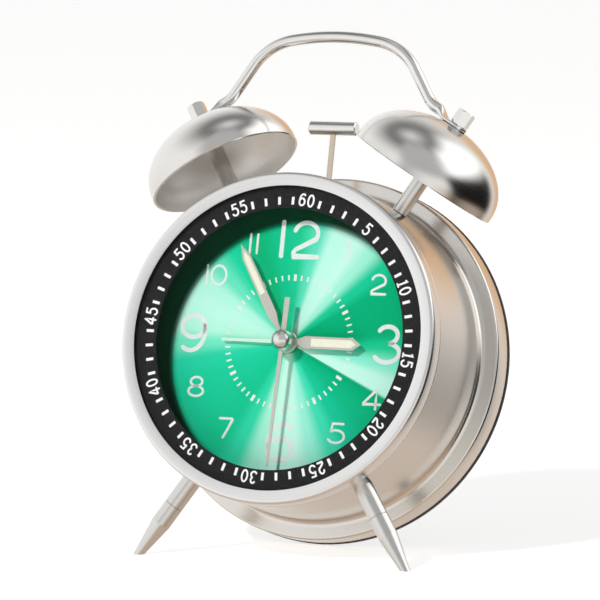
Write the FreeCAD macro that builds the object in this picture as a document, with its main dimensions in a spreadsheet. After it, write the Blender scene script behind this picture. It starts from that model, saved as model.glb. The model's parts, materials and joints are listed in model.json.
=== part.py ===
import FreeCAD, Part
import math
import os
import re
import Sketcher

# A twin-bell alarm clock.  It is drawn upright: x to the right of someone facing the dial,
# y into the clock from the bezel's front face, z up along the dial, origin on the dial's axis.
# At the end the whole clock is leaned back onto its two front legs and the edge of its rear cover.

# ---------------------------------------------------------------- sizes, in mm and degrees
SIZES = {
    # case
    "drum_radius": 50.4, "wall": 1.0, "rim_step": 5.7, "rim_depth": 9.0,
    "case_rounding": 0.8, "step_fillet": 2.0, "bezel_depth": 6.0, "bezel_width": 4.15,
    "bezel_rounding": 1.1, "lip_depth": 0.6, "sleeve_depth": 3.0, "sleeve_wall": 1.0,
    "fit": 0.1, "slip": 0.05,
    # glass, minute ring and dial
    "lens_depth": 1.4, "ring_width": 6.44, "ring_depth": 0.8, "spacer_wall": 3.0,
    "spacer_gap": 1.3, "dial_depth": 0.5, "dial_clearance": 0.15,
    # hands, one behind another between the glass and the dial
    "second_depth": 0.3, "second_length": 38.5, "second_tail": 13.0,
    "minute_depth": 0.35, "minute_length": 33.4, "minute_width": 3.0,
    "hour_depth": 0.35, "hour_length": 24.4, "hour_width": 3.7,
    "alarm_depth": 0.25, "alarm_length": 21.3, "hand_gap": 0.9, "cap_gap": 0.15, "nut_gap": 0.4,
    "second_hub": 2.2, "minute_hub": 2.6, "hour_hub": 3.1, "alarm_hub": 3.4,
    "lume_depth": 0.12, "lume_margin": 0.65, "minute_lume_start": 16.2, "hour_lume_start": 8.4,
    "cap_radius": 3.4,
    "second_angle": 181.6, "minute_angle": 329.4, "hour_angle": 90.3, "alarm_angle": 270.0,
    # tubes of the hands, one inside another, and the threaded bush with its nut
    "second_arbor": 0.5, "tube_wall": 0.55, "bush_wall": 0.55, "bush_height": 1.7,
    "bush_nut_wall": 0.5,
    # movement
    "movement_half": 27.5, "movement_wall": 1.5, "movement_depth": 15.4, "cover_depth": 1.5,
    "motion_module": 0.5, "third_module": 0.27, "step_module": 0.27, "rotor_module": 0.22, "wheel_depth": 0.8,
    "pinion_margin": 0.2,
    "arbor": 0.6, "step_arbor": 0.4, "rotor_arbor": 0.35, "magnet_radius": 2.6, "backlash": 0.06,
    "ear_reach": 3.5, "ear_length": 6.0, "ear_half": 4.0, "ear_depth": 1.5,
    "stator_half": 12.0, "stator_width": 8.0, "stator_sheet": 0.8, "coil_radius": 2.4,
    "coil_length": 17.0, "board_half": 22.0, "board_height": 10.5, "board_depth": 0.8,
    # chassis and rear
    "chassis_depth": 2.0, "standoff_wall": 2.0, "post_radius": 3.5, "post_inset": 7.4,
    "post_gap": 4.2, "rear_cover_depth": 2.0, "rear_flange": 1.3, "rear_overhang": 0.2,
    "screw_radius": 1.2, "screw_head": 2.3, "screw_bite": 7.0, "screw_sink": 1.4,
    "knob_radius": 6.0, "knob_depth": 6.5, "knob_gap": 0.5, "rib_radius": 0.55,
    "battery_radius": 7.1, "battery_length": 49.5, "battery_room": 0.4, "battery_gap": 2.8,
    "tray_wall": 1.4, "tray_gap": 0.8, "door_depth": 1.6, "door_margin": 2.0, "door_gap": 0.2,
    "switch_height": 26.0, "switch_travel": 4.0, "switch_half": 1.5,
    # bells, posts, handle
    "bell_angle": 31.0, "bell_plane": 25.3, "bell_radius": 24.0, "bell_rise": 16.8,
    "bell_skirt": 1.8, "bell_gap": 12.5, "bell_wall": 0.8, "bell_post": 2.5, "stud": 1.5,
    "nut_radius": 2.9, "nut_height": 4.8, "strap_depth": 1.2, "strap_width": 6.4,
    "handle_wire": 1.8, "handle_start": 5.0, "handle_bend": 11.3, "strap_reach": 8.0,
    "shoulder_inset": 20.45, "shoulder_rise": 23.5, "crown_rise": 27.1,
    # legs
    "leg_angle": 33.2, "leg_plane": 13.5, "leg_radius": 3.0, "collar_length": 10.4,
    "leg_straight": 6.8, "leg_point": 11.7, "leg_tip": 1.15,
    # hammer and its motor
    "hammer_plane": 30.0, "pivot_rise": 12.5, "hammer_rise": 19.2, "hammer_gap": 4.1,
    "hammer_radius": 2.15, "arm_width": 1.5, "arm_depth": 1.0, "hammer_swing": 8.5,
    "pin_radius": 1.0, "arm_boss": 2.6, "slot_margin": 0.8,
    "crank_drop": 6.5, "motor_radius": 5.9, "motor_depth": 13.0, "motor_neck": 2.2,
    "motor_shaft": 0.6, "crank_radius": 1.0, "crank_pin": 0.4,
    "bracket_half": 8.0, "bracket_wall": 1.0, "bracket_reach": 3.0,
}

# Sizes that follow from the ones above.
RULES = {
    "rim_radius": "drum_radius + rim_step",
    "bezel_bore": "drum_radius - bezel_width",
    "sleeve_radius": "drum_radius - wall - fit",
    "seat_radius": "sleeve_radius - sleeve_wall",
    "lens_back": "lip_depth + lens_depth",
    "ring_back": "lens_back + ring_depth",
    "spacer_radius": "seat_radius - spacer_gap",
    "second_front": "lens_back + cap_gap + cap_radius",
    "minute_front": "second_front + second_depth + hand_gap",
    "hour_front": "minute_front + minute_depth + hand_gap",
    "alarm_front": "hour_front + hour_depth + hand_gap",
    "dial_back": "alarm_front + alarm_depth + nut_gap + bush_height",
    "dial_front": "dial_back - dial_depth",
    "minute_tube": "second_arbor + slip + tube_wall",
    "hour_tube": "minute_tube + slip + tube_wall",
    "alarm_tube": "hour_tube + slip + tube_wall",
    "drum_bore": "drum_radius - wall",
    "rim_bore": "rim_radius - wall",
    "bush_radius": "alarm_tube + slip + bush_wall",
    "movement_back": "dial_back + movement_depth",
    "cover_back": "movement_back + cover_depth",
    "plate_front": "leg_plane + leg_radius + 1",
    "plate_back": "plate_front + chassis_depth",
    "tray_rise": "battery_radius + battery_room",
    "tray_front": "cover_back + battery_gap + tray_wall",
    "battery_plane": "tray_front + tray_rise",
    "rear_front": "battery_plane + battery_radius + 1",
    "rim_back": "rear_front + rear_cover_depth",
    "rim_front": "rim_back - rim_depth",
    "rear_back": "rim_back + rear_flange",
    "bell_rim": "drum_radius + bell_gap",
    "bell_top": "bell_rim + bell_skirt + bell_rise",
    "bell_seat": "bell_top - 0.3",
    "strap_top": "bell_seat + strap_depth",
    "motion_distance": "motion_module * 24",
    "hour_module": "motion_distance / 25",
    "train_distance": "third_module * 34",
    "centre_module": "train_distance / 36",
    "step_distance": "step_module * 24",
    "rotor_distance": "rotor_module * 28",
    "arm_front": "hammer_plane - arm_depth / 2",
    "arm_back": "hammer_plane + arm_depth / 2",
    "bracket_front": "hammer_plane - bracket_reach",
    "bracket_back": "hammer_plane + bracket_reach",
    "flange_radius": "rim_radius + rear_overhang",
    "hammer_pivot": "movement_half + pivot_rise",
    "hammer_height": "drum_radius + hammer_rise",
    "hammer_half": "bell_rim * sin(bell_angle) - bell_radius * cos(bell_angle) - hammer_gap",
    "motor_height": "hammer_pivot - crank_drop",
    "post_circle": "drum_radius - post_inset",
    "post_far": "movement_half + post_radius + post_gap",
    "post_near": "sqrt(post_circle * post_circle - post_far * post_far)",
    "battery_height": "tray_rise + tray_wall + tray_gap + post_radius - post_far",
    "tray_half": "battery_length / 2 + 2",
    "leg_joint": "drum_radius + collar_length",
    "leg_taper": "leg_joint + leg_straight",
    "leg_reach": "leg_taper + leg_point",
    "ear_spot": "movement_half + ear_reach",
    "knob_front": "rear_back + knob_gap",
    "nut_top": "strap_top + nut_height",
}

doc = FreeCAD.newDocument("AlarmClock")
sheet = doc.addObject("Spreadsheet::Sheet", "Sizes")
for row, (name, number) in enumerate(SIZES.items(), start=1):
    sheet.set(f"A{row}", name)
    sheet.set(f"B{row}", str(number))
    sheet.setAlias(f"B{row}", name)
doc.recompute()


def spelled(rule):
    """The rule with each named size written as a cell of the sheet."""

    def swap(match):
        word = match.group()
        if word in RULES:
            return f"({spelled(RULES[word])})"
        return f"Sizes.{word}" if word in SIZES else word

    return re.sub(r"[a-z][a-z_]*", swap, str(rule))


def size(rule):
    return float(sheet.evalExpression(spelled(rule)))


def tie(thing, **rules):
    """Bind properties of a document object to rules of the sheet."""
    for name, rule in rules.items():
        thing.setExpression(name, spelled(rule))


def place(thing, at, along="z"):
    """Put a primitive's base at a point, with its height along one axis."""
    if along == "y":
        thing.Placement.Rotation = FreeCAD.Rotation(FreeCAD.Vector(1, 0, 0), -90)
    if along == "x":
        thing.Placement.Rotation = FreeCAD.Rotation(FreeCAD.Vector(0, 1, 0), 90)
    for letter, rule in zip("xyz", at):
        thing.setExpression(f"Placement.Base.{letter}", spelled(rule))
    return thing


def rod(label, radius, length, at, along="y"):
    thing = doc.addObject("Part::Cylinder", label)
    tie(thing, Radius=radius, Height=length)
    return place(thing, at, along)


def block(label, low, extent):
    thing = doc.addObject("Part::Box", label)
    tie(thing, Length=extent[0], Width=extent[1], Height=extent[2])
    return place(thing, low)


def joined(label, pieces):
    thing = doc.addObject("Part::MultiFuse", label)
    thing.Shapes = pieces
    return thing


def cut(label, base, tools):
    thing = doc.addObject("Part::Cut", label)
    thing.Base = base
    thing.Tool = tools[0] if len(tools) == 1 else joined(label + "_cutters", tools)
    return thing


def outline(body, plane, points):
    """A closed sketch whose corners are held by rules of the sheet."""
    sketch = body.newObject("Sketcher::SketchObject", body.Label + "_outline")
    face = next(item for item in body.Origin.OriginFeatures if item.Role == plane)
    sketch.AttachmentSupport = [(face, "")]
    sketch.MapMode = "FlatFace"
    corners = [FreeCAD.Vector(size(across), size(up), 0) for across, up in points]
    for index, corner in enumerate(corners):
        sketch.addGeometry(Part.LineSegment(corner, corners[(index + 1) % len(corners)]), False)
    for index in range(len(corners)):
        following = (index + 1) % len(corners)
        sketch.addConstraint(Sketcher.Constraint("Coincident", index, 2, following, 1))
    for index, corner in enumerate(corners):
        for kind, rule, number in zip(("DistanceX", "DistanceY"), points[index], corner):
            held = sketch.addConstraint(Sketcher.Constraint(kind, -1, 1, index, 1, number))
            if abs(number) > 1e-9:
                sketch.setExpression(f"Constraints[{held}]", spelled(rule))
    return sketch


def turned(label, points):
    """A body turned about y, from corners given as (radius, y)."""
    body = doc.addObject("PartDesign::Body", label)
    sketch = outline(body, "XY_Plane", points)
    turning = body.newObject("PartDesign::Revolution", label + "_turning")
    turning.Profile = sketch
    turning.ReferenceAxis = (sketch, ["V_Axis"])
    turning.Angle = 360
    doc.recompute()
    return body


def softened(body, radius, edges):
    """Round the circular edges that lie at the given (radius, y) places of a turned body."""
    names = []
    plain = body.Tip
    for index, edge in enumerate(plain.Shape.Edges, start=1):
        if not isinstance(edge.Curve, Part.Circle):
            continue
        for across, along in edges:
            same_radius = abs(edge.Curve.Radius - size(across)) < 1e-4
            if same_radius and abs(edge.Curve.Center.y - size(along)) < 1e-4:
                names.append(f"Edge{index}")
    fillet = body.newObject("PartDesign::Fillet", body.Label + "_rounding")
    fillet.Base = (plain, names)
    tie(fillet, Radius=radius)
    body.Tip = fillet
    doc.recompute()
    return body


def stamped(label, points, depth, front):
    """A flat body cut to an outline in the dial's plane, from front towards the back."""
    body = doc.addObject("PartDesign::Body", label)
    pad = body.newObject("PartDesign::Pad", label + "_pad")
    pad.Profile = outline(body, "XZ_Plane", points)
    pad.Reversed = True
    tie(pad, Length=depth)
    place(body, ("0", front, "0"))
    doc.recompute()
    return body


def radial(angle, plane):
    """Takes +y to the direction that points outwards at a clockwise angle from 12."""
    sine = math.sin(math.radians(angle))
    cosine = math.cos(math.radians(angle))
    turn = FreeCAD.Rotation(FreeCAD.Vector(cosine, 0, -sine), FreeCAD.Vector(sine, 0, cosine),
                            FreeCAD.Vector(0, -1, 0))
    return FreeCAD.Placement(FreeCAD.Vector(0, size(plane), 0), turn)


def clockwise(angle):
    return FreeCAD.Placement(FreeCAD.Vector(), FreeCAD.Rotation(FreeCAD.Vector(0, 1, 0), angle))


def solid(label, shape):
    thing = doc.addObject("Part::Feature", label)
    thing.Shape = shape
    return thing


pieces = {}


def piece(thing, name=None, placement=None):
    """Count a finished object as one of the clock's pieces."""
    thing.Label = name or thing.Label
    if placement is not None:
        thing.Placement = placement.multiply(thing.Placement)
    pieces[thing.Label] = thing
    return thing


SIDES = {"left": -1, "right": 1}

# ---------------------------------------------------------------- case
# The drum and its wider rear rim are one spun steel shell, open at the front and the back.
case_blank = turned("case_blank", [
    ("drum_bore", "bezel_depth"), ("drum_radius", "bezel_depth"), ("drum_radius", "rim_front"),
    ("rim_radius", "rim_front"), ("rim_radius", "rim_back"), ("rim_bore", "rim_back"),
    ("rim_bore", "rim_front + wall"), ("drum_bore", "rim_front + wall")])
softened(case_blank, "step_fillet", [("drum_radius", "rim_front")])
softened(case_blank, "case_rounding", [("rim_radius", "rim_front"), ("rim_radius", "rim_back")])
case_holes = []
for side, sign in SIDES.items():
    for use, angle, plane in (("bell", sign * size("bell_angle"), "bell_plane"),
                              ("leg", 180 - sign * size("leg_angle"), "leg_plane")):
        hole = doc.addObject("Part::Cylinder", f"{side}_{use}_hole")
        tie(hole, Radius="stud + slip", Height="drum_radius + 5")
        turn = radial(angle, plane)
        turn.Rotation = turn.Rotation.multiply(FreeCAD.Rotation(FreeCAD.Vector(1, 0, 0), -90))
        hole.Placement = turn
        case_holes.append(hole)
slot_half = "(drum_radius - hammer_pivot) * tan(hammer_swing) + arm_width / 2 + slot_margin"
case_holes.append(block("hammer_slot", (f"-({slot_half})", "arm_front - 1", "hammer_pivot"),
                        (f"2 * ({slot_half})", "arm_depth + 2", "drum_radius")))
piece(cut("case_shell", case_blank, case_holes))

# The bezel slides into the drum with its sleeve, and its lip holds the glass.
bezel = turned("bezel", [
    ("bezel_bore", "0"), ("drum_radius", "0"), ("drum_radius", "bezel_depth"),
    ("sleeve_radius", "bezel_depth"), ("sleeve_radius", "bezel_depth + sleeve_depth"),
    ("seat_radius", "bezel_depth + sleeve_depth"), ("seat_radius", "lip_depth"),
    ("bezel_bore", "lip_depth")])
piece(softened(bezel, "bezel_rounding", [("drum_radius", "0")]))


def washer(label, bore, outside, front, back):
    return turned(label, [(bore, front), (outside, front), (outside, back), (bore, back)])


piece(rod("front_lens", "seat_radius - fit", "lens_depth", ("0", "lip_depth", "0")))
piece(washer("minute_ring", "bezel_bore - ring_width", "seat_radius - fit", "lens_back", "ring_back"))
piece(washer("dial_spacer", "spacer_radius - spacer_wall", "spacer_radius", "ring_back", "dial_front"))
piece(washer("dial", "bush_radius + dial_clearance", "spacer_radius", "dial_front", "dial_back"))

# ---------------------------------------------------------------- chassis
# A moulded ring behind the dial carries the movement and four posts for the rear screws.
standoff = washer("chassis_standoff", "spacer_radius - standoff_wall", "spacer_radius",
                  "dial_back", "plate_front")
plate = rod("chassis_plate", "drum_bore - fit", "chassis_depth", ("0", "plate_front", "0"))
window = block("chassis_window", ("-movement_half - 0.5", "dial_back", "-movement_half - 0.5"),
               ("2 * movement_half + 1", "movement_depth", "2 * movement_half + 1"))
REAR_SCREWS = [(f"{sign} * {across}", up) for sign in SIDES.values()
               for across, up in (("post_near", "-post_far"), ("post_far", "post_near"))]
posts = []
pilot_holes = []
for number, (across, up) in enumerate(REAR_SCREWS):
    posts.append(rod(f"chassis_post_{number}", "post_radius", "rear_front - plate_back",
                     (across, "plate_back", up)))
    pilot_holes.append(rod(f"pilot_hole_{number}", "screw_radius + slip", "screw_bite + 2",
                           (across, "rear_front - screw_bite - 1", up)))
ear_holes = [rod(f"ear_hole_{side}", "screw_radius + slip", "chassis_depth + 2",
                 (f"{sign} * ear_spot", "plate_front - 1", "0"))
             for side, sign in SIDES.items()]
chassis_body = joined("chassis_body", [standoff, plate] + posts)
piece(cut("chassis", chassis_body, [window] + pilot_holes + ear_holes))

# ---------------------------------------------------------------- movement
SECOND_SPOT = (0, 0)
THIRD_SPOT = (0, size("train_distance"))
STEP_SPOT = (0, -size("step_distance"))
ROTOR_SPOT = (0, -size("step_distance") - size("rotor_distance"))
SETTING_SPOT = (-size("motion_distance"), 0)
ALARM_SPOT = (size("motion_distance"), 0)

# Planes of the wheels, counted from the inside of the movement's front wall.
BASE = size("dial_back") + size("movement_wall")
ALARM_PLANE = BASE + 0.4
HOUR_PLANE = BASE + 1.7
MOTION_PLANE = BASE + 3.5
CENTRE_PLANE = BASE + 5.1
MIDDLE_PLANE = BASE + 6.5
THIRD_PLANE = BASE + 7.8
SECOND_PLANE = BASE + 9.3
STEP_PLANE = BASE + 10.9
COVER_PLANE = size("movement_back")
WHEEL = size("wheel_depth")
ARBOR = size("arbor")
SLIP = size("slip")
MARGIN = size("pinion_margin")


def pillar(spot, radius, front, back):
    """A round bar along y, from front to back."""
    at = FreeCAD.Vector(spot[0], front, spot[1])
    return Part.makeCylinder(radius, back - front, at, FreeCAD.Vector(0, 1, 0))


def on_circle(radius, angle, front):
    return FreeCAD.Vector(radius * math.sin(angle), front, radius * math.cos(angle))


def toothed(spot, teeth, module, phase, front, depth):
    """A spur gear with involute flanks; phase is the clockwise angle of one tooth."""
    pitch = module * teeth / 2
    base = pitch * math.cos(math.radians(20))
    root = pitch - 1.25 * module
    tip = pitch + module

    def involute(radius):
        return math.sqrt((radius / base) ** 2 - 1) - math.acos(base / radius)

    half = math.pi / (2 * teeth) - size("backlash") / (4 * pitch) + involute(pitch)
    start = max(base, root) + 1e-4
    middle = (start + tip) / 2
    edges = []
    for number in range(teeth):
        axis = phase + 2 * math.pi * number / teeth
        flanks = []
        for sign in (-1, 1):
            low, mid, high = (on_circle(radius, axis + sign * (half - involute(radius)), front)
                              for radius in (start, middle, tip))
            foot = on_circle(root, axis + sign * (half - involute(start)), front)
            flanks.append((foot, low, mid, high))
        (foot, low, mid, high), (next_foot, next_low, next_mid, next_high) = flanks
        crest = on_circle(tip, axis, front)
        if root < start - 2e-3:
            edges.append(Part.LineSegment(foot, low).toShape())
        else:
            foot, next_foot = low, next_low
        edges.append(Part.Arc(low, mid, high).toShape())
        edges.append(Part.Arc(high, crest, next_high).toShape())
        edges.append(Part.Arc(next_high, next_mid, next_low).toShape())
        if next_foot is not next_low:
            edges.append(Part.LineSegment(next_low, next_foot).toShape())
        gap = 2 * math.pi / teeth
        reach = start if foot is low else root
        edge_angle = axis + gap - (half - involute(start))
        edges.append(Part.LineSegment(next_foot, on_circle(reach, edge_angle, front)).toShape())
    face = Part.Face(Part.Wire(edges))
    gear = face.extrude(FreeCAD.Vector(0, depth, 0))
    gear.translate(FreeCAD.Vector(spot[0], 0, spot[1]))
    return gear


def meshing(spot, teeth, phase, other_spot, other_teeth):
    """Phase of the other gear, so that one's tooth stands in the other's gap."""
    bearing = math.atan2(other_spot[0] - spot[0], other_spot[1] - spot[1])
    turned_by = (phase - bearing) * teeth / other_teeth
    return bearing + math.pi + math.pi / other_teeth - turned_by


def fused(shapes, bores=()):
    whole = shapes[0].fuse(shapes[1:]) if len(shapes) > 1 else shapes[0]
    for bore in bores:
        whole = whole.cut(bore)
    return whole.removeSplitter()


step_phase = meshing(SECOND_SPOT, 40, 0, STEP_SPOT, 8)
rotor_phase = meshing(STEP_SPOT, 48, 0, ROTOR_SPOT, 8)
third_phase = meshing(SECOND_SPOT, 8, 0, THIRD_SPOT, 60)
centre_phase = meshing(THIRD_SPOT, 8, 0, SECOND_SPOT, 64)
setting_phase = meshing(SECOND_SPOT, 12, 0, SETTING_SPOT, 36)
hour_phase = meshing(SETTING_SPOT, 10, 0, SECOND_SPOT, 40)
alarm_phase = meshing(SECOND_SPOT, 40, 0, ALARM_SPOT, 10)

second_arbor = size("second_arbor")
minute_tube = size("minute_tube")
hour_tube = size("hour_tube")
alarm_tube = size("alarm_tube")
step_arbor = size("step_arbor")
rotor_arbor = size("rotor_arbor")
knob_front = size("knob_front")

piece(solid("second_wheel", fused([
    pillar(SECOND_SPOT, second_arbor, size("second_front") + size("second_depth"), COVER_PLANE + 1),
    toothed(SECOND_SPOT, 8, size("third_module"), 0, THIRD_PLANE - MARGIN, WHEEL + 2 * MARGIN),
    toothed(SECOND_SPOT, 40, size("step_module"), 0, SECOND_PLANE, WHEEL)])))
piece(solid("step_wheel", fused([
    pillar(STEP_SPOT, step_arbor, MIDDLE_PLANE + 0.1, COVER_PLANE + 1),
    toothed(STEP_SPOT, 8, size("step_module"), step_phase, SECOND_PLANE - MARGIN, WHEEL + 2 * MARGIN),
    toothed(STEP_SPOT, 48, size("rotor_module"), 0, STEP_PLANE, WHEEL)])))
piece(solid("rotor", fused([
    pillar(ROTOR_SPOT, rotor_arbor, MIDDLE_PLANE + 0.1, COVER_PLANE + 1),
    pillar(ROTOR_SPOT, size("magnet_radius"), THIRD_PLANE, SECOND_PLANE + 0.6),
    toothed(ROTOR_SPOT, 8, size("rotor_module"), rotor_phase, STEP_PLANE - MARGIN, WHEEL + 2 * MARGIN)])))
piece(solid("third_wheel", fused([
    pillar(THIRD_SPOT, ARBOR, BASE + 3.7, COVER_PLANE + 1),
    toothed(THIRD_SPOT, 8, size("centre_module"), 0, CENTRE_PLANE - MARGIN, WHEEL + 2 * MARGIN),
    toothed(THIRD_SPOT, 60, size("third_module"), third_phase, THIRD_PLANE, WHEEL)])))
piece(solid("centre_wheel", fused([
    pillar(SECOND_SPOT, minute_tube, size("minute_front") + size("minute_depth"), CENTRE_PLANE + 1),
    toothed(SECOND_SPOT, 12, size("motion_module"), 0, MOTION_PLANE - MARGIN, WHEEL + 2 * MARGIN),
    toothed(SECOND_SPOT, 64, size("centre_module"), centre_phase, CENTRE_PLANE, WHEEL)],
    [pillar(SECOND_SPOT, second_arbor + SLIP, 0, COVER_PLANE)])))
piece(solid("hour_wheel", fused([
    pillar(SECOND_SPOT, hour_tube, size("hour_front") + size("hour_depth"), HOUR_PLANE + WHEEL),
    toothed(SECOND_SPOT, 40, size("hour_module"), hour_phase, HOUR_PLANE, WHEEL)],
    [pillar(SECOND_SPOT, minute_tube + SLIP, 0, COVER_PLANE)])))
piece(solid("alarm_wheel", fused([
    pillar(SECOND_SPOT, alarm_tube, size("alarm_front") + size("alarm_depth"), ALARM_PLANE + WHEEL),
    toothed(SECOND_SPOT, 40, size("hour_module"), 0, ALARM_PLANE, WHEEL)],
    [pillar(SECOND_SPOT, hour_tube + SLIP, 0, COVER_PLANE)])))
piece(solid("setting_wheel", fused([
    pillar(SETTING_SPOT, ARBOR, BASE - 1, knob_front),
    toothed(SETTING_SPOT, 10, size("hour_module"), 0, HOUR_PLANE - MARGIN, WHEEL + 3 * MARGIN),
    toothed(SETTING_SPOT, 36, size("motion_module"), setting_phase, MOTION_PLANE, WHEEL)])))
piece(solid("alarm_pinion", fused([
    pillar(ALARM_SPOT, ARBOR, BASE - 1, knob_front),
    toothed(ALARM_SPOT, 10, size("hour_module"), alarm_phase, ALARM_PLANE - MARGIN, WHEEL + 2 * MARGIN)])))

# The knobs at the back have finger ribs all round.
KNOB_RIBS = 20
EDGE_ROUNDING = 0.6
knob_radius = size("knob_radius")
knob_back = knob_front + size("knob_depth")


def rims(shape):
    """The circular edges of a shape."""
    return [edge for edge in shape.Edges if isinstance(edge.Curve, Part.Circle)]


for name, spot in (("time_set_knob", SETTING_SPOT), ("alarm_set_knob", ALARM_SPOT)):
    knob = pillar(spot, knob_radius, knob_front, knob_back)
    knob = knob.makeFillet(EDGE_ROUNDING, rims(knob))
    for number in range(KNOB_RIBS):
        mark = on_circle(knob_radius + size("rib_radius") / 2, 2 * math.pi * number / KNOB_RIBS, 0)
        groove = (spot[0] + mark.x, spot[1] + mark.z)
        knob = knob.cut(pillar(groove, size("rib_radius"), knob_front, knob_back))
    piece(solid(name, knob))

# The housing is a tray with the threaded bush, closed by a cover; both hold the arbors' ends.
housing_outside = block("housing_outside", ("-movement_half", "dial_back", "-movement_half"),
                        ("2 * movement_half", "movement_depth", "2 * movement_half"))
housing_inside = block("housing_inside",
                       ("movement_wall - movement_half", "dial_back + movement_wall",
                        "movement_wall - movement_half"),
                       ("2 * (movement_half - movement_wall)", "movement_depth",
                        "2 * (movement_half - movement_wall)"))
bush = rod("centre_bush", "bush_radius", "bush_height + movement_wall / 2",
           ("0", "dial_back - bush_height", "0"))
ears = [block(f"housing_ear_{side}",
              ("movement_half - 1" if sign > 0 else "-movement_half - ear_length", "plate_back",
               "-ear_half"),
              ("ear_length + 1", "ear_depth", "2 * ear_half")) for side, sign in SIDES.items()]
ear_bores = [rod(f"ear_bore_{side}", "screw_radius + slip", "ear_depth + 2",
                 (f"{sign} * ear_spot", "plate_back - 1", "0"))
             for side, sign in SIDES.items()]
bush_bore = rod("bush_bore", "alarm_tube + slip", "bush_height + movement_wall + 2",
                ("0", "dial_back - bush_height - 1", "0"))
front_pivots = [rod(f"front_pivot_{side}", "arbor + slip", "movement_wall",
                    (f"{sign} * motion_distance", "dial_back + 0.4", "0"))
                for side, sign in SIDES.items()]
piece(cut("movement_housing", joined("housing_solid", [
    cut("housing_tray", housing_outside, [housing_inside]), bush] + ears),
    ear_bores + [bush_bore] + front_pivots))
cover_plate = block("cover_plate", ("-movement_half", "movement_back", "-movement_half"),
                    ("2 * movement_half", "cover_depth", "2 * movement_half"))
cover_holes = [rod("second_pivot", "second_arbor + slip", "cover_depth", ("0", "movement_back", "0")),
               rod("step_pivot", "step_arbor + slip", "cover_depth",
                   ("0", "movement_back", "-step_distance")),
               rod("rotor_pivot", "rotor_arbor + slip", "cover_depth",
                   ("0", "movement_back", "-step_distance - rotor_distance")),
               rod("third_pivot", "arbor + slip", "cover_depth",
                   ("0", "movement_back", "train_distance"))]
cover_holes += [rod(f"knob_passage_{side}", "arbor + slip", "cover_depth",
                    (f"{sign} * motion_distance", "movement_back", "0"))
                for side, sign in SIDES.items()]
piece(cut("movement_cover", cover_plate, cover_holes))

# The middle plate parts the motion work from the going train.
middle_width = size("movement_half - movement_wall") - 0.2
middle_low = -16
middle_height = 34
middle = Part.makeBox(2 * middle_width, WHEEL, middle_height,
                      FreeCAD.Vector(-middle_width, MIDDLE_PLANE, middle_low))
for spot, radius in ((SECOND_SPOT, second_arbor + 0.3), (THIRD_SPOT, ARBOR + SLIP),
                     (STEP_SPOT, step_arbor + SLIP), (ROTOR_SPOT, rotor_arbor + SLIP),
                     (SETTING_SPOT, ARBOR + 0.3), (ALARM_SPOT, ARBOR + 0.3)):
    middle = middle.cut(pillar(spot, radius, MIDDLE_PLANE - 1, MIDDLE_PLANE + 2))
piece(solid("middle_plate", middle))

# Stator, coil and circuit of the stepping motor.
STATOR_PLANE = THIRD_PLANE + 0.6
RIGHT = FreeCAD.Vector(1, 0, 0)
sheet_depth = size("stator_sheet")
stator_half = size("stator_half")
stator_width = size("stator_width")
leg_width = 3
leg_length = 11
stator_top = ROTOR_SPOT[1] + stator_width - 4.4
stator = Part.makeBox(2 * stator_half, sheet_depth, stator_width,
                      FreeCAD.Vector(-stator_half, STATOR_PLANE, stator_top - stator_width))
stator = stator.cut(pillar(ROTOR_SPOT, size("magnet_radius") + 0.35, STATOR_PLANE - 1, STATOR_PLANE + 2))
legs = [Part.makeBox(leg_width, sheet_depth, stator_width,
                     FreeCAD.Vector(low, STATOR_PLANE, ROTOR_SPOT[1] - leg_length))
        for low in (-stator_half, stator_half - leg_width)]
piece(solid("stator", fused([stator] + legs)))
coil_length = size("coil_length")
coil_start = FreeCAD.Vector(-coil_length / 2, STATOR_PLANE + sheet_depth / 2,
                            ROTOR_SPOT[1] - leg_length + 2)
coil = Part.makeCylinder(size("coil_radius"), coil_length, coil_start, RIGHT)
flanges = [Part.makeCylinder(size("coil_radius") + 0.6, 0.8, coil_start + RIGHT * shift, RIGHT)
           for shift in (-0.3, coil_length - 0.5)]
piece(solid("coil", fused([coil] + flanges)))
BOARD_PLANE = STEP_PLANE + 1.5
board_half = size("board_half")
board_low = 2 - size("movement_half")
piece(solid("circuit_board", Part.makeBox(2 * board_half, size("board_depth"), size("board_height"),
                                          FreeCAD.Vector(-board_half, BOARD_PLANE, board_low))))
crystal_radius = 0.95
crystal_at = FreeCAD.Vector(15, BOARD_PLANE - crystal_radius, board_low + 6.5)
piece(solid("quartz_crystal", Part.makeCylinder(crystal_radius, 6, crystal_at, FreeCAD.Vector(0, 0, 1))))
piece(washer("centre_nut", "bush_radius + 0.02", "bush_radius + bush_nut_wall",
             "dial_back - bush_height", "dial_front"))
ear_screws = []
for sign in SIDES.values():
    spot = (sign * size("ear_spot"), 0)
    ear_back = size("plate_back + ear_depth")
    ear_screws.append(fused([pillar(spot, size("screw_radius"), size("plate_front"), ear_back + 0.5),
                             pillar(spot, size("screw_head"), ear_back, ear_back + 1.4)]))
piece(solid("movement_screws", Part.makeCompound(ear_screws)))

# ---------------------------------------------------------------- hands
def hand(name, points, hub, bore, front, depth, angle):
    """A stamped hand with a round hub, drawn pointing at 12 and turned to its angle."""
    blade = stamped(name + "_blade", points, depth, front)
    boss = rod(name + "_boss", hub, depth, ("0", front, "0"))
    hole = rod(name + "_hole", bore, "20", ("0", "0", "0"))
    return piece(cut(name, joined(name + "_flat", [blade, boss]), [hole]),
                 placement=clockwise(size(angle)))


def mirrored(half):
    """Close an outline given by its right half, from the bottom to the top."""
    return half + [(f"-({across})", up) for across, up in reversed(half) if across != "0"]


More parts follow.
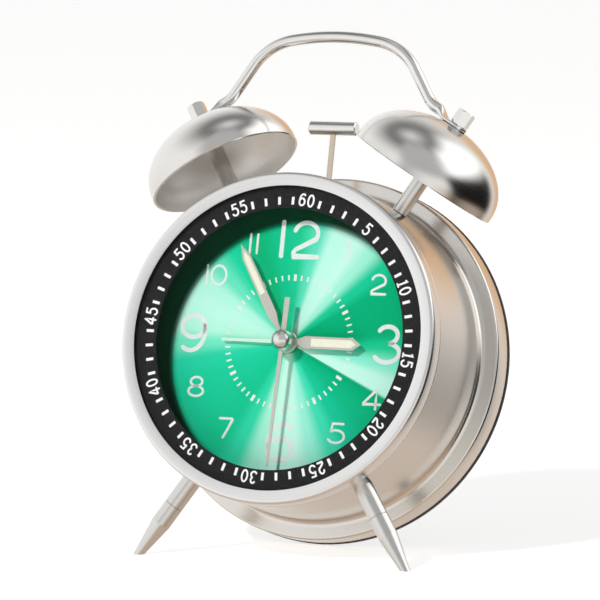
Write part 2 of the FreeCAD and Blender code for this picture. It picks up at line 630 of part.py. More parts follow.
hand("second_hand", mirrored([("0.8", "-second_tail"), ("0.8", "0"), ("0.65", "3"),
                              ("0.38", "second_length")]),
     "second_hub", "second_arbor", "second_front", "second_depth", "second_angle")
hand("minute_hand", mirrored([("0.7", "0"), ("0.7", "5.5"), ("minute_width / 2", "9"),
                              ("minute_width / 2 - 0.1", "minute_length - 4.5"),
                              ("0", "minute_length")]),
     "minute_hub", "minute_tube", "minute_front", "minute_depth", "minute_angle")
hand("hour_hand", mirrored([("0.9", "0"), ("0.9", "4"), ("hour_width / 2", "6.5"),
                            ("hour_width / 2", "hour_length - 2.6"), ("0", "hour_length")]),
     "hour_hub", "hour_tube", "hour_front", "hour_depth", "hour_angle")
hand("alarm_hand", mirrored([("0.6", "0"), ("0.4", "alarm_length")]),
     "alarm_hub", "alarm_tube", "alarm_front", "alarm_depth", "alarm_angle")
minute_lume = stamped("minute_lume", mirrored([
    ("minute_width / 2 - lume_margin", "minute_lume_start"),
    ("minute_width / 2 - lume_margin", "minute_length - 5"), ("0", "minute_length - 2.2")]),
    "lume_depth", "minute_front - lume_depth")
piece(minute_lume, placement=clockwise(size("minute_angle")))
hour_lume = stamped("hour_lume", mirrored([
    ("hour_width / 2 - lume_margin", "hour_lume_start"),
    ("hour_width / 2 - lume_margin", "hour_length - 3.1"), ("0", "hour_length - 1.5")]),
    "lume_depth", "hour_front - lume_depth")
piece(hour_lume, placement=clockwise(size("hour_angle")))
cap = doc.addObject("Part::Sphere", "cap_ball")
tie(cap, Radius="cap_radius")
place(cap, ("0", "second_front", "0"))
cap_trim = block("cap_trim", ("-5", "second_front", "-5"), ("10", "10", "10"))
piece(cut("hub_cap", cap, [cap_trim]))

# ---------------------------------------------------------------- bells, posts and handle
def wall_curve(inset, height):
    """The bell's elliptical wall from its skirt up to a height, and where it ends."""
    middle = FreeCAD.Vector(0, size("bell_rim + bell_skirt"), 0)
    radius = size("bell_radius") - inset
    rise = size("bell_rise") - inset
    angle = math.asin((height - middle.y) / rise)
    curve = Part.ArcOfEllipse(Part.Ellipse(middle, radius, rise), 0, angle).toShape()
    return curve, radius, radius * math.cos(angle)


def bell():
    """A bell spun from sheet: elliptical dome, short skirt and a flat seat with the stud's hole."""
    seat = size("bell_seat")
    under = seat - size("bell_wall") - 0.3
    foot = size("bell_rim")
    skirt = size("bell_rim + bell_skirt")
    hole = size("stud + slip")
    outer, outer_radius, seat_edge = wall_curve(0, seat)
    inner, inner_radius, under_edge = wall_curve(size("bell_wall"), under)
    corners = [(seat_edge, seat), (hole, seat), (hole, under), (under_edge, under)]
    rim = [(inner_radius, skirt), (inner_radius, foot), (outer_radius, foot), (outer_radius, skirt)]
    edges = [outer, inner]
    for chain in (corners, rim):
        points = [FreeCAD.Vector(across, along, 0) for across, along in chain]
        edges += [Part.LineSegment(start, end).toShape() for start, end in zip(points, points[1:])]
    face = Part.Face(Part.Wire(Part.__sortEdges__(edges)))
    return face.revolve(FreeCAD.Vector(0, 0, 0), FreeCAD.Vector(0, 1, 0), 360)


AXIS = (0, 0)
stud = size("stud")


def hexagon(radius, low, high):
    """A hexagonal bar along y whose corners lie at a radius."""
    corners = [on_circle(radius, math.pi / 3 * number, low) for number in range(7)]
    return Part.Face(Part.makePolygon(corners)).extrude(FreeCAD.Vector(0, high - low, 0))


for side, sign in SIDES.items():
    tilt = radial(sign * size("bell_angle"), "bell_plane")
    piece(solid(f"{side}_bell", bell()), placement=tilt)
    shoulder = size("bell_seat - bell_wall") - 0.3
    piece(solid(f"{side}_bell_post", fused([
        pillar(AXIS, size("bell_post"), size("drum_radius"), shoulder),
        pillar(AXIS, stud, size("drum_bore") - 3, size("nut_top") - 1)])), placement=tilt)
    crest = pillar(AXIS, size("nut_radius"), size("strap_top"), size("nut_top"))
    crest = crest.makeChamfer(0.35, rims(crest))
    thread = pillar(AXIS, stud + 0.02, size("strap_top") - 1, size("nut_top") - 0.9)
    nut = hexagon(size("nut_radius"), size("strap_top"), size("nut_top")).common(crest).cut(thread)
    piece(solid(f"{side}_bell_nut", nut), placement=tilt)


def smooth_wire(points, radii):
    """Straight runs joined by tangent arcs at the inner points."""
    edges = []
    start = points[0]
    for before, corner, after, radius in zip(points, points[1:], points[2:], radii):
        inward = (before - corner).normalize()
        onward = (after - corner).normalize()
        half_turn = (math.pi - inward.getAngle(onward)) / 2
        back = radius * math.tan(half_turn)
        first = corner + inward * back
        last = corner + onward * back
        toward = (inward + onward).normalize()
        middle = corner + toward * (radius / math.cos(half_turn) - radius)
        if (first - start).Length > 1e-6:
            edges.append(Part.LineSegment(start, first).toShape())
        edges.append(Part.Arc(first, middle, last).toShape())
        start = last
    edges.append(Part.LineSegment(start, points[-1]).toShape())
    return Part.Wire(edges)


# The handle is one bent rod; its ends are flattened into straps that lie under the bell nuts.
STRAP_BEND = 9.0
SHOULDER_BEND = 18.0
CROWN_BEND = 80.0
wire_radius = size("handle_wire")
tilt = radial(size("bell_angle"), "bell_plane")
inward = tilt.Rotation.multVec(FreeCAD.Vector(-1, 0, 0))
rod_end = tilt.multVec(FreeCAD.Vector(0, size("bell_seat") + wire_radius, 0))
half_route = [rod_end + inward * size("handle_start"), rod_end + inward * size("handle_bend"),
              rod_end + FreeCAD.Vector(-size("shoulder_inset"), 0, size("shoulder_rise"))]
other_half = [FreeCAD.Vector(-point.x, point.y, point.z) for point in reversed(half_route)]
crown = FreeCAD.Vector(0, size("bell_plane"), rod_end.z + size("crown_rise"))
route = smooth_wire(half_route + [crown] + other_half,
                    [STRAP_BEND, SHOULDER_BEND, CROWN_BEND, SHOULDER_BEND, STRAP_BEND])
section = Part.Wire(Part.makeCircle(wire_radius, half_route[0], inward))
handle_rod = route.makePipeShell([section], True, True)
strap_width = size("strap_width")
strap_reach = size("strap_reach")
straps = []
keep_out = []
for sign in SIDES.values():
    tilt = radial(sign * size("bell_angle"), "bell_plane")
    start = -strap_reach if sign > 0 else 0
    strap = Part.makeBox(strap_reach, size("strap_depth"), strap_width,
                         FreeCAD.Vector(start, size("bell_seat"), -strap_width / 2))
    strap = strap.fuse(pillar(AXIS, strap_width / 2, size("bell_seat"), size("strap_top")))
    strap = strap.cut(pillar(AXIS, stud + SLIP, size("bell_seat") - 1, size("strap_top") + 1))
    strap.Placement = tilt
    straps.append(strap)
    bar = pillar(AXIS, size("nut_radius") + 0.3, size("strap_top"), size("nut_top") + 1)
    bar.Placement = tilt
    keep_out.append(bar)
piece(solid("handle", fused([handle_rod] + straps, keep_out)))


def inner_nuts(label, angles, plane):
    """Hexagon nuts inside the drum, on the studs of the bells or of the legs."""
    corner_radius = 2.75
    height = 2
    nuts = []
    for angle in angles:
        top = math.sqrt(size("drum_bore") ** 2 - (corner_radius + 0.15) ** 2) - 0.02
        nut = hexagon(corner_radius, top - height, top)
        nut = nut.cut(pillar(AXIS, stud + 0.02, top - height - 1, top + 1))
        nut.Placement = radial(angle, plane)
        nuts.append(nut)
    return piece(solid(label, Part.makeCompound(nuts)))


inner_nuts("bell_post_nuts", [-size("bell_angle"), size("bell_angle")], "bell_plane")
inner_nuts("leg_nuts", [180 - size("leg_angle"), 180 + size("leg_angle")], "leg_plane")

# ---------------------------------------------------------------- hammer and its motor
pivot_spot = (0, size("hammer_pivot"))
motor_spot = (0, size("motor_height"))
plane = size("hammer_plane")
arm_front = size("arm_front")
arm_back = size("arm_back")
arm_depth = size("arm_depth")
arm_width = size("arm_width")
arm_top = size("hammer_height")
pin_radius = size("pin_radius")
crank_swing = size("crank_radius")
fork_wall = 1.0
fork_half = crank_swing + 0.2
fork_low = motor_spot[1] - 2.5
stem = Part.makeBox(arm_width, arm_depth, arm_top - motor_spot[1],
                    FreeCAD.Vector(-arm_width / 2, arm_front, motor_spot[1]))
fork = Part.makeBox(2 * (fork_half + fork_wall), arm_depth, 4,
                    FreeCAD.Vector(-fork_half - fork_wall, arm_front, fork_low))
fork_gap = Part.makeBox(2 * fork_half, arm_depth + 2, 3,
                        FreeCAD.Vector(-fork_half, arm_front - 1, fork_low - 0.5))
hammer_half = size("hammer_half")
head_start = FreeCAD.Vector(-hammer_half, plane, arm_top)
head = Part.makeCylinder(size("hammer_radius"), 2 * hammer_half, head_start, RIGHT)
head = head.makeChamfer(0.35, rims(head))
arm = fused([stem, fork, pillar(pivot_spot, size("arm_boss"), arm_front - 0.3, arm_back + 0.3)],
            [fork_gap, pillar(pivot_spot, pin_radius + SLIP, arm_front - 1, arm_back + 1), head])
piece(solid("hammer_arm", arm))
piece(solid("hammer_head", head))
bracket_half = size("bracket_half")
bracket_wall = size("bracket_wall")
bracket_low = size("movement_half")
bracket_front = size("bracket_front")
bracket_back = size("bracket_back")
bracket_height = pivot_spot[1] + 3 - bracket_low
foot_front = size("plate_back") + 2
uprights = [Part.makeBox(2 * bracket_half, bracket_wall, bracket_height,
                         FreeCAD.Vector(-bracket_half, face, bracket_low))
            for face in (bracket_front, bracket_back - bracket_wall)]
foot = Part.makeBox(2 * bracket_half, bracket_back - foot_front, bracket_wall,
                    FreeCAD.Vector(-bracket_half, foot_front, bracket_low))
motor_neck = size("motor_neck")
motor_shaft = size("motor_shaft")
piece(solid("hammer_bracket", fused(uprights + [foot], [
    pillar(pivot_spot, pin_radius, bracket_front - 1, bracket_back + 1),
    pillar(motor_spot, motor_neck + 0.4, bracket_back - 2, bracket_back + 1)])))
piece(solid("hammer_pin", pillar(pivot_spot, pin_radius, bracket_front - 0.4, bracket_back)))
motor = fused([pillar(motor_spot, size("motor_radius"), bracket_back, bracket_back + size("motor_depth")),
               pillar(motor_spot, motor_neck, bracket_back - bracket_wall, bracket_back)],
              [pillar(motor_spot, motor_shaft + SLIP, bracket_back - 2, bracket_back + 8)])
piece(solid("bell_motor", motor))
crank_front = arm_back + 0.7
piece(solid("motor_crank", fused([
    pillar(motor_spot, motor_shaft, crank_front + 0.2, bracket_back + 7),
    pillar(motor_spot, crank_swing + 0.6, crank_front, bracket_back - bracket_wall - 0.2),
    pillar((crank_swing, motor_spot[1]), size("crank_pin"), arm_back + 0.35, crank_front + 0.1)])))

# ---------------------------------------------------------------- rear cover, battery and switch
# A moulded cover closes the rim.  It holds the battery tray, whose door slides in from behind.
tray_half = size("tray_half")
tray_rise = size("tray_rise")
tray_wall = size("tray_wall")
tray_front = size("tray_front")
battery_height = size("battery_height")
rear_front = size("rear_front")
rim_back = size("rim_back")
rear_back = size("rear_back")
door_depth = size("door_depth")
door_half = tray_half + size("door_margin")
door_rise = tray_rise + size("door_margin")
door_gap = size("door_gap")


def centred_box(half, front, depth, rise, height):
    """A box from front backwards, centred across the clock and about a height."""
    return Part.makeBox(2 * half, depth, 2 * rise, FreeCAD.Vector(-half, front, height - rise))


cover = fused([pillar(AXIS, size("rim_bore - fit"), rear_front, rim_back),
               pillar(AXIS, size("flange_radius"), rim_back, rear_back),
               centred_box(tray_half + tray_wall, tray_front - tray_wall,
                           rear_front - tray_front + tray_wall + 0.1, tray_rise + tray_wall,
                           battery_height)])
bores = [centred_box(tray_half, tray_front, rear_back - tray_front + 1, tray_rise, battery_height),
         centred_box(door_half, rear_back - door_depth, door_depth + 1, door_rise, battery_height)]
bores += [pillar(spot, ARBOR + 0.2, rear_front - 1, rear_back + 1) for spot in (SETTING_SPOT, ALARM_SPOT)]
screw_radius = size("screw_radius")
screw_head = size("screw_head")
screw_sink = size("screw_sink")
screws = []
for spot in [(size(across), size(up)) for across, up in REAR_SCREWS]:
    bores.append(pillar(spot, screw_radius + 0.2, rear_front - 1, rear_back + 1))
    bores.append(pillar(spot, screw_head + 0.4, rear_back - screw_sink, rear_back + 1))
    screws.append(fused([
        pillar(spot, screw_radius, rear_front - size("screw_bite"), rear_back - screw_sink + 0.1),
        pillar(spot, screw_head, rear_back - screw_sink, rear_back - 0.2)]))
switch_height = size("switch_height")
switch_half = size("switch_half")
slot_start = FreeCAD.Vector(-switch_half - 0.3, rear_front - 1, switch_height - 1.3)
bores.append(Part.makeBox(2 * switch_half + size("switch_travel") + 0.6, 10, 2.6, slot_start))
piece(solid("rear_cover", fused([cover], bores)))
piece(solid("rear_screws", Part.makeCompound(screws)))

door = centred_box(door_half - door_gap, rear_back - door_depth + door_gap, door_depth - door_gap,
                   door_rise - door_gap, battery_height)
for number in range(5):
    rib_start = FreeCAD.Vector(16 + 1.6 * number, rear_back - 0.05, battery_height - 4)
    door = door.fuse(Part.makeBox(0.7, 0.6, 8, rib_start))
piece(solid("battery_door", door.removeSplitter()))

battery_plane = size("battery_plane")
half_battery = size("battery_length") / 2
cell_start = FreeCAD.Vector(-half_battery, battery_plane, battery_height)
cell = Part.makeCylinder(size("battery_radius"), 2 * half_battery, cell_start, RIGHT)
cell = cell.makeFillet(EDGE_ROUNDING, rims(cell))
button_start = FreeCAD.Vector(half_battery - 0.5, battery_plane, battery_height)
button = Part.makeCylinder(2.7, 1.5, button_start, RIGHT)
piece(solid("battery_cell", cell.fuse(button).removeSplitter()))
contact_depth = 0.4
contact_side = 9
contacts = [Part.makeBox(contact_depth, contact_side, contact_side,
                         FreeCAD.Vector(low, battery_plane - contact_side / 2,
                                        battery_height - contact_side / 2))
            for low in (0.05 - tray_half, tray_half - 0.05 - contact_depth)]
piece(solid("battery_contacts", Part.makeCompound(contacts)))

# The alarm switch is a slide held behind the cover by its wider inner plate.
inner_front = rear_front - 1.3
slide_front = rear_front - 0.8
piece(solid("alarm_switch", fused([
    centred_box(switch_half, slide_front, rear_back + 1.2 - slide_front, 1, switch_height),
    centred_box(3 * switch_half, inner_front, 1.0, 2.2, switch_height)])))

# ---------------------------------------------------------------- legs
# Each leg is a plain collar against the drum and a tapered foot screwed into it.
TIP_DROP = size("leg_reach * cos(leg_angle)")
LEAN = math.degrees(math.atan2(TIP_DROP - size("flange_radius"), rear_back - size("leg_plane")))
ground = FreeCAD.Vector(0, size("leg_plane"), -TIP_DROP)
lean_turn = FreeCAD.Rotation(FreeCAD.Vector(1, 0, 0), -LEAN)
below = Part.makeBox(400, 400, 60, FreeCAD.Vector(-200, -200, -60))
below.Placement = FreeCAD.Placement(ground, lean_turn.inverted()).multiply(below.Placement)
for side, sign in SIDES.items():
    tilt = radial(180 - sign * size("leg_angle"), "leg_plane")
    piece(turned(f"{side}_leg_collar", [
        ("stud + slip", "drum_radius"), ("leg_radius", "drum_radius"),
        ("leg_radius", "leg_joint - 0.15"), ("leg_radius - 0.2", "leg_joint"),
        ("stud + slip", "leg_joint")]), placement=tilt)
    foot_shape = turned(f"{side}_leg_turning", [
        ("0", "spacer_radius + 0.1"), ("stud", "spacer_radius + 0.1"), ("stud", "leg_joint"),
        ("leg_radius - 0.2", "leg_joint"), ("leg_radius", "leg_joint + 0.15"),
        ("leg_radius", "leg_taper"), ("leg_tip", "leg_reach + 2"), ("0", "leg_reach + 2")])
    foot_shape.Placement = tilt
    doc.recompute()
    piece(solid(f"{side}_leg", foot_shape.Shape.cut(below)))

# ---------------------------------------------------------------- standing
# Lean the clock back until its front feet and the edge of the rear cover touch the table, stand
# it on z = 0 and centre its box on the origin.
doc.recompute()
lift = lean_turn.multVec(ground).z
leaning = FreeCAD.Placement(FreeCAD.Vector(0, 0, -lift), lean_turn)
spans = []
for thing in pieces.values():
    if thing.Shape.isNull() or not thing.Shape.Solids:
        raise RuntimeError(f"{thing.Label} has no solid: {thing.State}")
    shape = thing.Shape.copy()
    shape.Placement = leaning.multiply(shape.Placement)
    spans.append(shape.optimalBoundingBox(False))
middle_y = (min(span.YMin for span in spans) + max(span.YMax for span in spans)) / 2
middle_x = (min(span.XMin for span in spans) + max(span.XMax for span in spans)) / 2
leaning.Base = FreeCAD.Vector(-middle_x, -middle_y, -lift)
for thing in pieces.values():
    for name, _ in thing.ExpressionEngine:
        if "Placement" in name:
            thing.setExpression(name, None)
    thing.Placement = leaning.multiply(thing.Placement)
doc.recompute()

for thing in doc.Objects:
    if "Invalid" in thing.State or "Error" in thing.State:
        raise RuntimeError(f"{thing.Label} failed: {thing.State}")
os.makedirs("parts", exist_ok=True)
for name, thing in pieces.items():
    shape = thing.Shape
    if shape.isNull() or not shape.isValid() or not shape.Solids:
        raise RuntimeError(f"{name} has no valid shape")
    shape.exportStep(f"parts/{name}.step")
    print(f"{name:18s} solids {len(shape.Solids)} volume {shape.Volume:9.2f}")
print(len(pieces), "nodes, lean", round(LEAN, 3), "origin at", leaning.Base)
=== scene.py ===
import json
import math

import bmesh
import bpy
from mathutils import Matrix, Quaternion, Vector


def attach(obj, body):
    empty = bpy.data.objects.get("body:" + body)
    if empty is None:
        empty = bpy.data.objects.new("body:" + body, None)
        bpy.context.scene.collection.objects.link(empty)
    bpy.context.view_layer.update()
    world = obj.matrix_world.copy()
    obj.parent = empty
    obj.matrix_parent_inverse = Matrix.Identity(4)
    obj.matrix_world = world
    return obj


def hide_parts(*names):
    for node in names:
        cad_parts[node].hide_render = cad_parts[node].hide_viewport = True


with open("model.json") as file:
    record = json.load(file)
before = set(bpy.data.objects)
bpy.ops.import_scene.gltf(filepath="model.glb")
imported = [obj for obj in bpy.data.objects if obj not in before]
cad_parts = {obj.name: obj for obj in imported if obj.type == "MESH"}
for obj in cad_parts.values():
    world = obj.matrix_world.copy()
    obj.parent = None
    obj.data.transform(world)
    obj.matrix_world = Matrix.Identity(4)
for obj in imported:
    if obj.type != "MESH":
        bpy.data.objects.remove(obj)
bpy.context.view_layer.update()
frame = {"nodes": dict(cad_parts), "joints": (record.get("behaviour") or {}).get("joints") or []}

# ---------------------------------------------------------------- standing and viewpoint
# The clock leans back on its feet. Its own frame has x to the right of the dial, y into the
# case along the hands' axis and z up the dial, in millimetres from the bezel's face.
MM = 0.001
joints = {joint["name"]: joint for joint in frame["joints"]}
SECONDS_DEPTH = 5.0
into_case = Vector(joints["second_hand"]["axis"])
to_right = Vector((1, 0, 0))
up_dial = to_right.cross(into_case)
face_centre = Vector(joints["second_hand"]["pos_m"]) - into_case * SECONDS_DEPTH * MM
CLOCK = Matrix((to_right, into_case, up_dial)).transposed().to_4x4()
CLOCK.translation = face_centre

VIEWPOINT = Vector((0.5713, -1.3957, 0.2288))
LOOKED_AT = Vector((0.0064, -0.0219, 0.0786))
camera = bpy.data.objects.new("camera", bpy.data.cameras.new("camera"))
camera.data.sensor_width = 36
camera.data.lens = 299.4
camera.location = VIEWPOINT
camera.rotation_euler = (LOOKED_AT - VIEWPOINT).to_track_quat("-Z", "Y").to_euler()
bpy.context.collection.objects.link(camera)
bpy.context.scene.camera = camera
bpy.context.scene.view_settings.view_transform = "Standard"


def add(name, mesh, body, *nodes, material=None, slot=None, place=None):
    """Put a mesh in the scene as a piece that rides on a body and stands for CAD nodes."""
    piece = bpy.data.objects.new(name, mesh)
    bpy.context.collection.objects.link(piece)
    if place is not None:
        piece.matrix_world = place
    if material:
        mesh.materials.append(material)
    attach(piece, body)
    if nodes:
        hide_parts(*nodes)
    return piece


# ---------------------------------------------------------------- floor and studio
# A white table top under a lamp high on the left. The metal mirrors a room that is white on the
# left, has a bright screen over a black card on the right, and warm wood behind.
lamp = bpy.data.objects.new("main_lamp", bpy.data.lights.new("main_lamp", "AREA"))
lamp.data.shape = "DISK"
lamp.data.size = 0.16
lamp.data.energy = 22
lamp.location = face_centre + CLOCK.to_3x3() @ Vector((-0.24, -0.89, 0.37)).normalized() * 1.9
lamp.rotation_euler = (face_centre - lamp.location).to_track_quat("-Z", "Y").to_euler()
lamp.visible_glossy = False
bpy.context.collection.objects.link(lamp)

room = bpy.data.worlds.new("room")
bpy.context.scene.world = room
room.use_nodes = True
nodes = room.node_tree.nodes
links = room.node_tree.links
nodes.clear()


def maths(operation, first, second=None):
    """One step of arithmetic in the room's shader."""
    step = nodes.new("ShaderNodeMath")
    step.operation = operation
    for socket, term in zip(step.inputs, (first, second)):
        if isinstance(term, (int, float)):
            socket.default_value = term
        elif term is not None:
            links.new(term, socket)
    return step.outputs[0]


def patch(value, centre, half, edge):
    """1 where the value is within half of the centre, falling to 0 over a soft edge."""
    fade = nodes.new("ShaderNodeMapRange")
    fade.interpolation_type = "SMOOTHSTEP"
    links.new(maths("ABSOLUTE", maths("SUBTRACT", value, centre)), fade.inputs["Value"])
    fade.inputs["From Min"].default_value = half + edge
    fade.inputs["From Max"].default_value = max(0.0, half - edge)
    return fade.outputs["Result"]


def painted(under, over, mask):
    """Mix a plain colour over what is there."""
    mix = nodes.new("ShaderNodeMix")
    mix.data_type = "RGBA"
    links.new(mask, mix.inputs["Factor"])
    links.new(under, mix.inputs["A"])
    mix.inputs["B"].default_value = (*over, 1)
    return mix.outputs["Result"]


parted = nodes.new("ShaderNodeSeparateXYZ")
links.new(nodes.new("ShaderNodeTexCoord").outputs["Generated"], parted.inputs[0])
bearing = maths("MULTIPLY", maths("ARCTAN2", parted.outputs["X"], maths("MULTIPLY", parted.outputs["Y"], -1)),
                180 / math.pi)
rise = maths("MULTIPLY", maths("ARCSINE", parted.outputs["Z"]), 180 / math.pi)
ceiling = nodes.new("ShaderNodeValToRGB")
links.new(maths("ADD", maths("DIVIDE", rise, 180), 0.5), ceiling.inputs["Fac"])
ceiling.color_ramp.interpolation = "B_SPLINE"
for degrees, tone in ((-90, (0.5, 0.4, 0.32)), (-35, (0.62, 0.52, 0.44)), (-16, (1, 0.99, 0.97)),
                      (25, (1, 1, 0.99)), (38, (0.78, 0.78, 0.78)), (49, (0.55, 0.54, 0.53)),
                      (59, (0.25, 0.24, 0.23)), (72, (0.11, 0.11, 0.11)), (90, (0.09, 0.09, 0.09))):
    stop = ceiling.color_ramp.elements.new(degrees / 180 + 0.5)
    stop.color = (*tone, 1)
ceiling.color_ramp.elements.remove(ceiling.color_ramp.elements[0])
ceiling.color_ramp.elements.remove(ceiling.color_ramp.elements[-1])
sight = painted(ceiling.outputs["Color"], (0.5, 0.5, 0.5),
                maths("MULTIPLY", patch(bearing, 22, 40, 12), patch(rise, 40, 34, 14)))
sight = painted(sight, (0.62, 0.5, 0.4),
                maths("MULTIPLY", patch(bearing, 75, 75, 12), patch(rise, -60, 42, 12)))
sight = painted(sight, (0.76, 0.5, 0.3), maths("MULTIPLY", patch(maths("ABSOLUTE", bearing), 180, 17, 10),
                                               patch(rise, 4, 26, 14)))
sight = painted(sight, (1.5, 1.5, 1.5),
                maths("MULTIPLY", patch(bearing, 113, 38, 14), patch(rise, 37, 20, 12)))
sight = painted(sight, (0.01, 0.009, 0.008),
                maths("MULTIPLY", patch(bearing, 106, 46, 10), patch(rise, -9, 24, 9)))
rays = nodes.new("ShaderNodeLightPath")
surround = nodes.new("ShaderNodeBackground")
links.new(sight, surround.inputs["Color"])
links.new(maths("SUBTRACT", 1, maths("MULTIPLY", rays.outputs["Is Diffuse Ray"], 0.66)),
          surround.inputs["Strength"])
backdrop = nodes.new("ShaderNodeBackground")
backdrop.inputs["Color"].default_value = (1, 1, 1, 1)
choose = nodes.new("ShaderNodeMixShader")
links.new(rays.outputs["Is Camera Ray"], choose.inputs["Fac"])
links.new(surround.outputs[0], choose.inputs[1])
links.new(backdrop.outputs[0], choose.inputs[2])
links.new(choose.outputs[0], nodes.new("ShaderNodeOutputWorld").inputs["Surface"])

FLOOR_REACH = 6.0
floor_mesh = bpy.data.meshes.new("floor")
floor_build = bmesh.new()
bmesh.ops.create_circle(floor_build, cap_ends=True, segments=64, radius=FLOOR_REACH)
floor_build.to_mesh(floor_mesh)
floor = bpy.data.objects.new("floor", floor_mesh)
floor.visible_glossy = False
bpy.context.collection.objects.link(floor)
floor_paint = bpy.data.materials.new("floor_paint")
floor_paint.use_nodes = True
floor_shader = floor_paint.node_tree.nodes["Principled BSDF"]
floor_shader.inputs["Base Color"].default_value = (0.88, 0.88, 0.88, 1)
floor_shader.inputs["Roughness"].default_value = 0.8
floor_shader.inputs["Emission Color"].default_value = (1, 1, 1, 1)
floor_shader.inputs["Emission Strength"].default_value = 0.66
floor_mesh.materials.append(floor_paint)


# ---------------------------------------------------------------- bezel
# A turned aluminium ring, satin with fine concentric tool lines and a softly rounded front edge.
def lathe(name, outline, steps=192, crease=40):
    """Spin a closed (radius, y) outline in mm about y; radius 0 closes it on the axis."""
    build = bmesh.new()
    rings = []
    for radius, along in outline:
        if radius < 1e-6:
            rings.append([build.verts.new((0, along * MM, 0))])
            continue
        turn = [2 * math.pi * step / steps for step in range(steps)]
        rings.append([build.verts.new((radius * MM * math.cos(a), along * MM, radius * MM * math.sin(a)))
                      for a in turn])
    for first, second in zip(rings, rings[1:] + rings[:1]):
        if len(first) == 1 and len(second) == 1:
            continue
        for step in range(steps):
            after = (step + 1) % steps
            corners = [first[step % len(first)], second[step % len(second)],
                       second[after % len(second)], first[after % len(first)]]
            build.faces.new(list(dict.fromkeys(corners)))
    bmesh.ops.recalc_face_normals(build, faces=build.faces)
    mesh = bpy.data.meshes.new(name)
    build.to_mesh(mesh)
    build.free()
    mesh.shade_smooth()
    mesh.set_sharp_from_angle(angle=math.radians(crease))
    return mesh


def rounded(corners, steps=5):
    """Replace each (radius, y, rounding) corner of a closed outline by a small curve."""
    outline = []
    for index, (across, along, rounding) in enumerate(corners):
        here = Vector((across, along))
        before = Vector(corners[index - 1][:2]) - here
        after = Vector(corners[(index + 1) % len(corners)][:2]) - here
        if rounding <= 0:
            outline.append((across, along))
            continue
        reach = min(rounding, before.length * 0.49, after.length * 0.49)
        start = here + before.normalized() * reach
        end = here + after.normalized() * reach
        for step in range(steps + 1):
            t = step / steps
            point = start * (1 - t) ** 2 + here * 2 * t * (1 - t) + end * t ** 2
            outline.append((point.x, point.y))
    return outline


def finish(name, colour, metallic=1.0, roughness=0.3, grain="even", scale=600, depth=0.02,
           vary=0.08, rough_vary=0.06, stretch=(1, 1, 1), specular=0.5):
    """A material whose noise moves colour and roughness a little and lifts a fine grain.

    grain is even, or turned for tool lines that run round the piece's own y axis."""
    paint = bpy.data.materials.new(name)
    paint.use_nodes = True
    tree = paint.node_tree
    shader = tree.nodes["Principled BSDF"]
    shader.inputs["Metallic"].default_value = metallic
    shader.inputs["Specular IOR Level"].default_value = specular
    place = tree.nodes.new("ShaderNodeTexCoord").outputs["Object"]
    if grain == "turned":
        split = tree.nodes.new("ShaderNodeSeparateXYZ")
        tree.links.new(place, split.inputs[0])
        flat = tree.nodes.new("ShaderNodeCombineXYZ")
        tree.links.new(split.outputs["X"], flat.inputs["X"])
        tree.links.new(split.outputs["Z"], flat.inputs["Y"])
        length = tree.nodes.new("ShaderNodeVectorMath")
        length.operation = "LENGTH"
        tree.links.new(flat.outputs[0], length.inputs[0])
        joined = tree.nodes.new("ShaderNodeCombineXYZ")
        tree.links.new(length.outputs["Value"], joined.inputs["X"])
        tree.links.new(split.outputs["Y"], joined.inputs["Y"])
        place = joined.outputs[0]
    mapping = tree.nodes.new("ShaderNodeMapping")
    mapping.inputs["Scale"].default_value = stretch
    tree.links.new(place, mapping.inputs["Vector"])
    noise = tree.nodes.new("ShaderNodeTexNoise")
    noise.inputs["Scale"].default_value = scale
    noise.inputs["Detail"].default_value = 4
    tree.links.new(mapping.outputs[0], noise.inputs["Vector"])
    ramp = tree.nodes.new("ShaderNodeValToRGB")
    ramp.color_ramp.elements[0].position = 0.3
    ramp.color_ramp.elements[1].position = 0.7
    ramp.color_ramp.elements[0].color = (*[part * (1 - vary) for part in colour], 1)
    ramp.color_ramp.elements[1].color = (*[min(1, part * (1 + vary)) for part in colour], 1)
    tree.links.new(noise.outputs["Fac"], ramp.inputs["Fac"])
    tree.links.new(ramp.outputs["Color"], shader.inputs["Base Color"])
    spread = tree.nodes.new("ShaderNodeMapRange")
    spread.inputs["To Min"].default_value = max(0.02, roughness - rough_vary)
    spread.inputs["To Max"].default_value = roughness + rough_vary
    tree.links.new(noise.outputs["Fac"], spread.inputs["Value"])
    tree.links.new(spread.outputs["Result"], shader.inputs["Roughness"])
    bump = tree.nodes.new("ShaderNodeBump")
    bump.inputs["Strength"].default_value = 0.6
    bump.inputs["Distance"].default_value = depth * MM
    tree.links.new(noise.outputs["Fac"], bump.inputs["Height"])
    tree.links.new(bump.outputs["Normal"], shader.inputs["Normal"])
    return paint


BEZEL_RADIUS = 50.4
BEZEL_BORE = 46.25
BEZEL_DEPTH = 6.0
BEZEL_DISH = 0.3
satin_aluminium = finish("satin_aluminium", (0.9, 0.9, 0.9), roughness=0.27, grain="turned",
                         scale=2600, depth=0.006, vary=0.03)
bezel_mesh = lathe("bezel", rounded([
    (BEZEL_BORE, BEZEL_DISH, 0.1), (BEZEL_RADIUS, 0, 1.3), (BEZEL_RADIUS, BEZEL_DEPTH - 0.15, 0.15),
    (BEZEL_RADIUS - 1.0, BEZEL_DEPTH, 0), (48.3, 9.0, 0), (48.3, 0.6, 0), (BEZEL_BORE, 0.6, 0.1)]))
add("bezel_turned", bezel_mesh, "case", "bezel", material=satin_aluminium,
    slot="brushed_bezel", place=CLOCK)

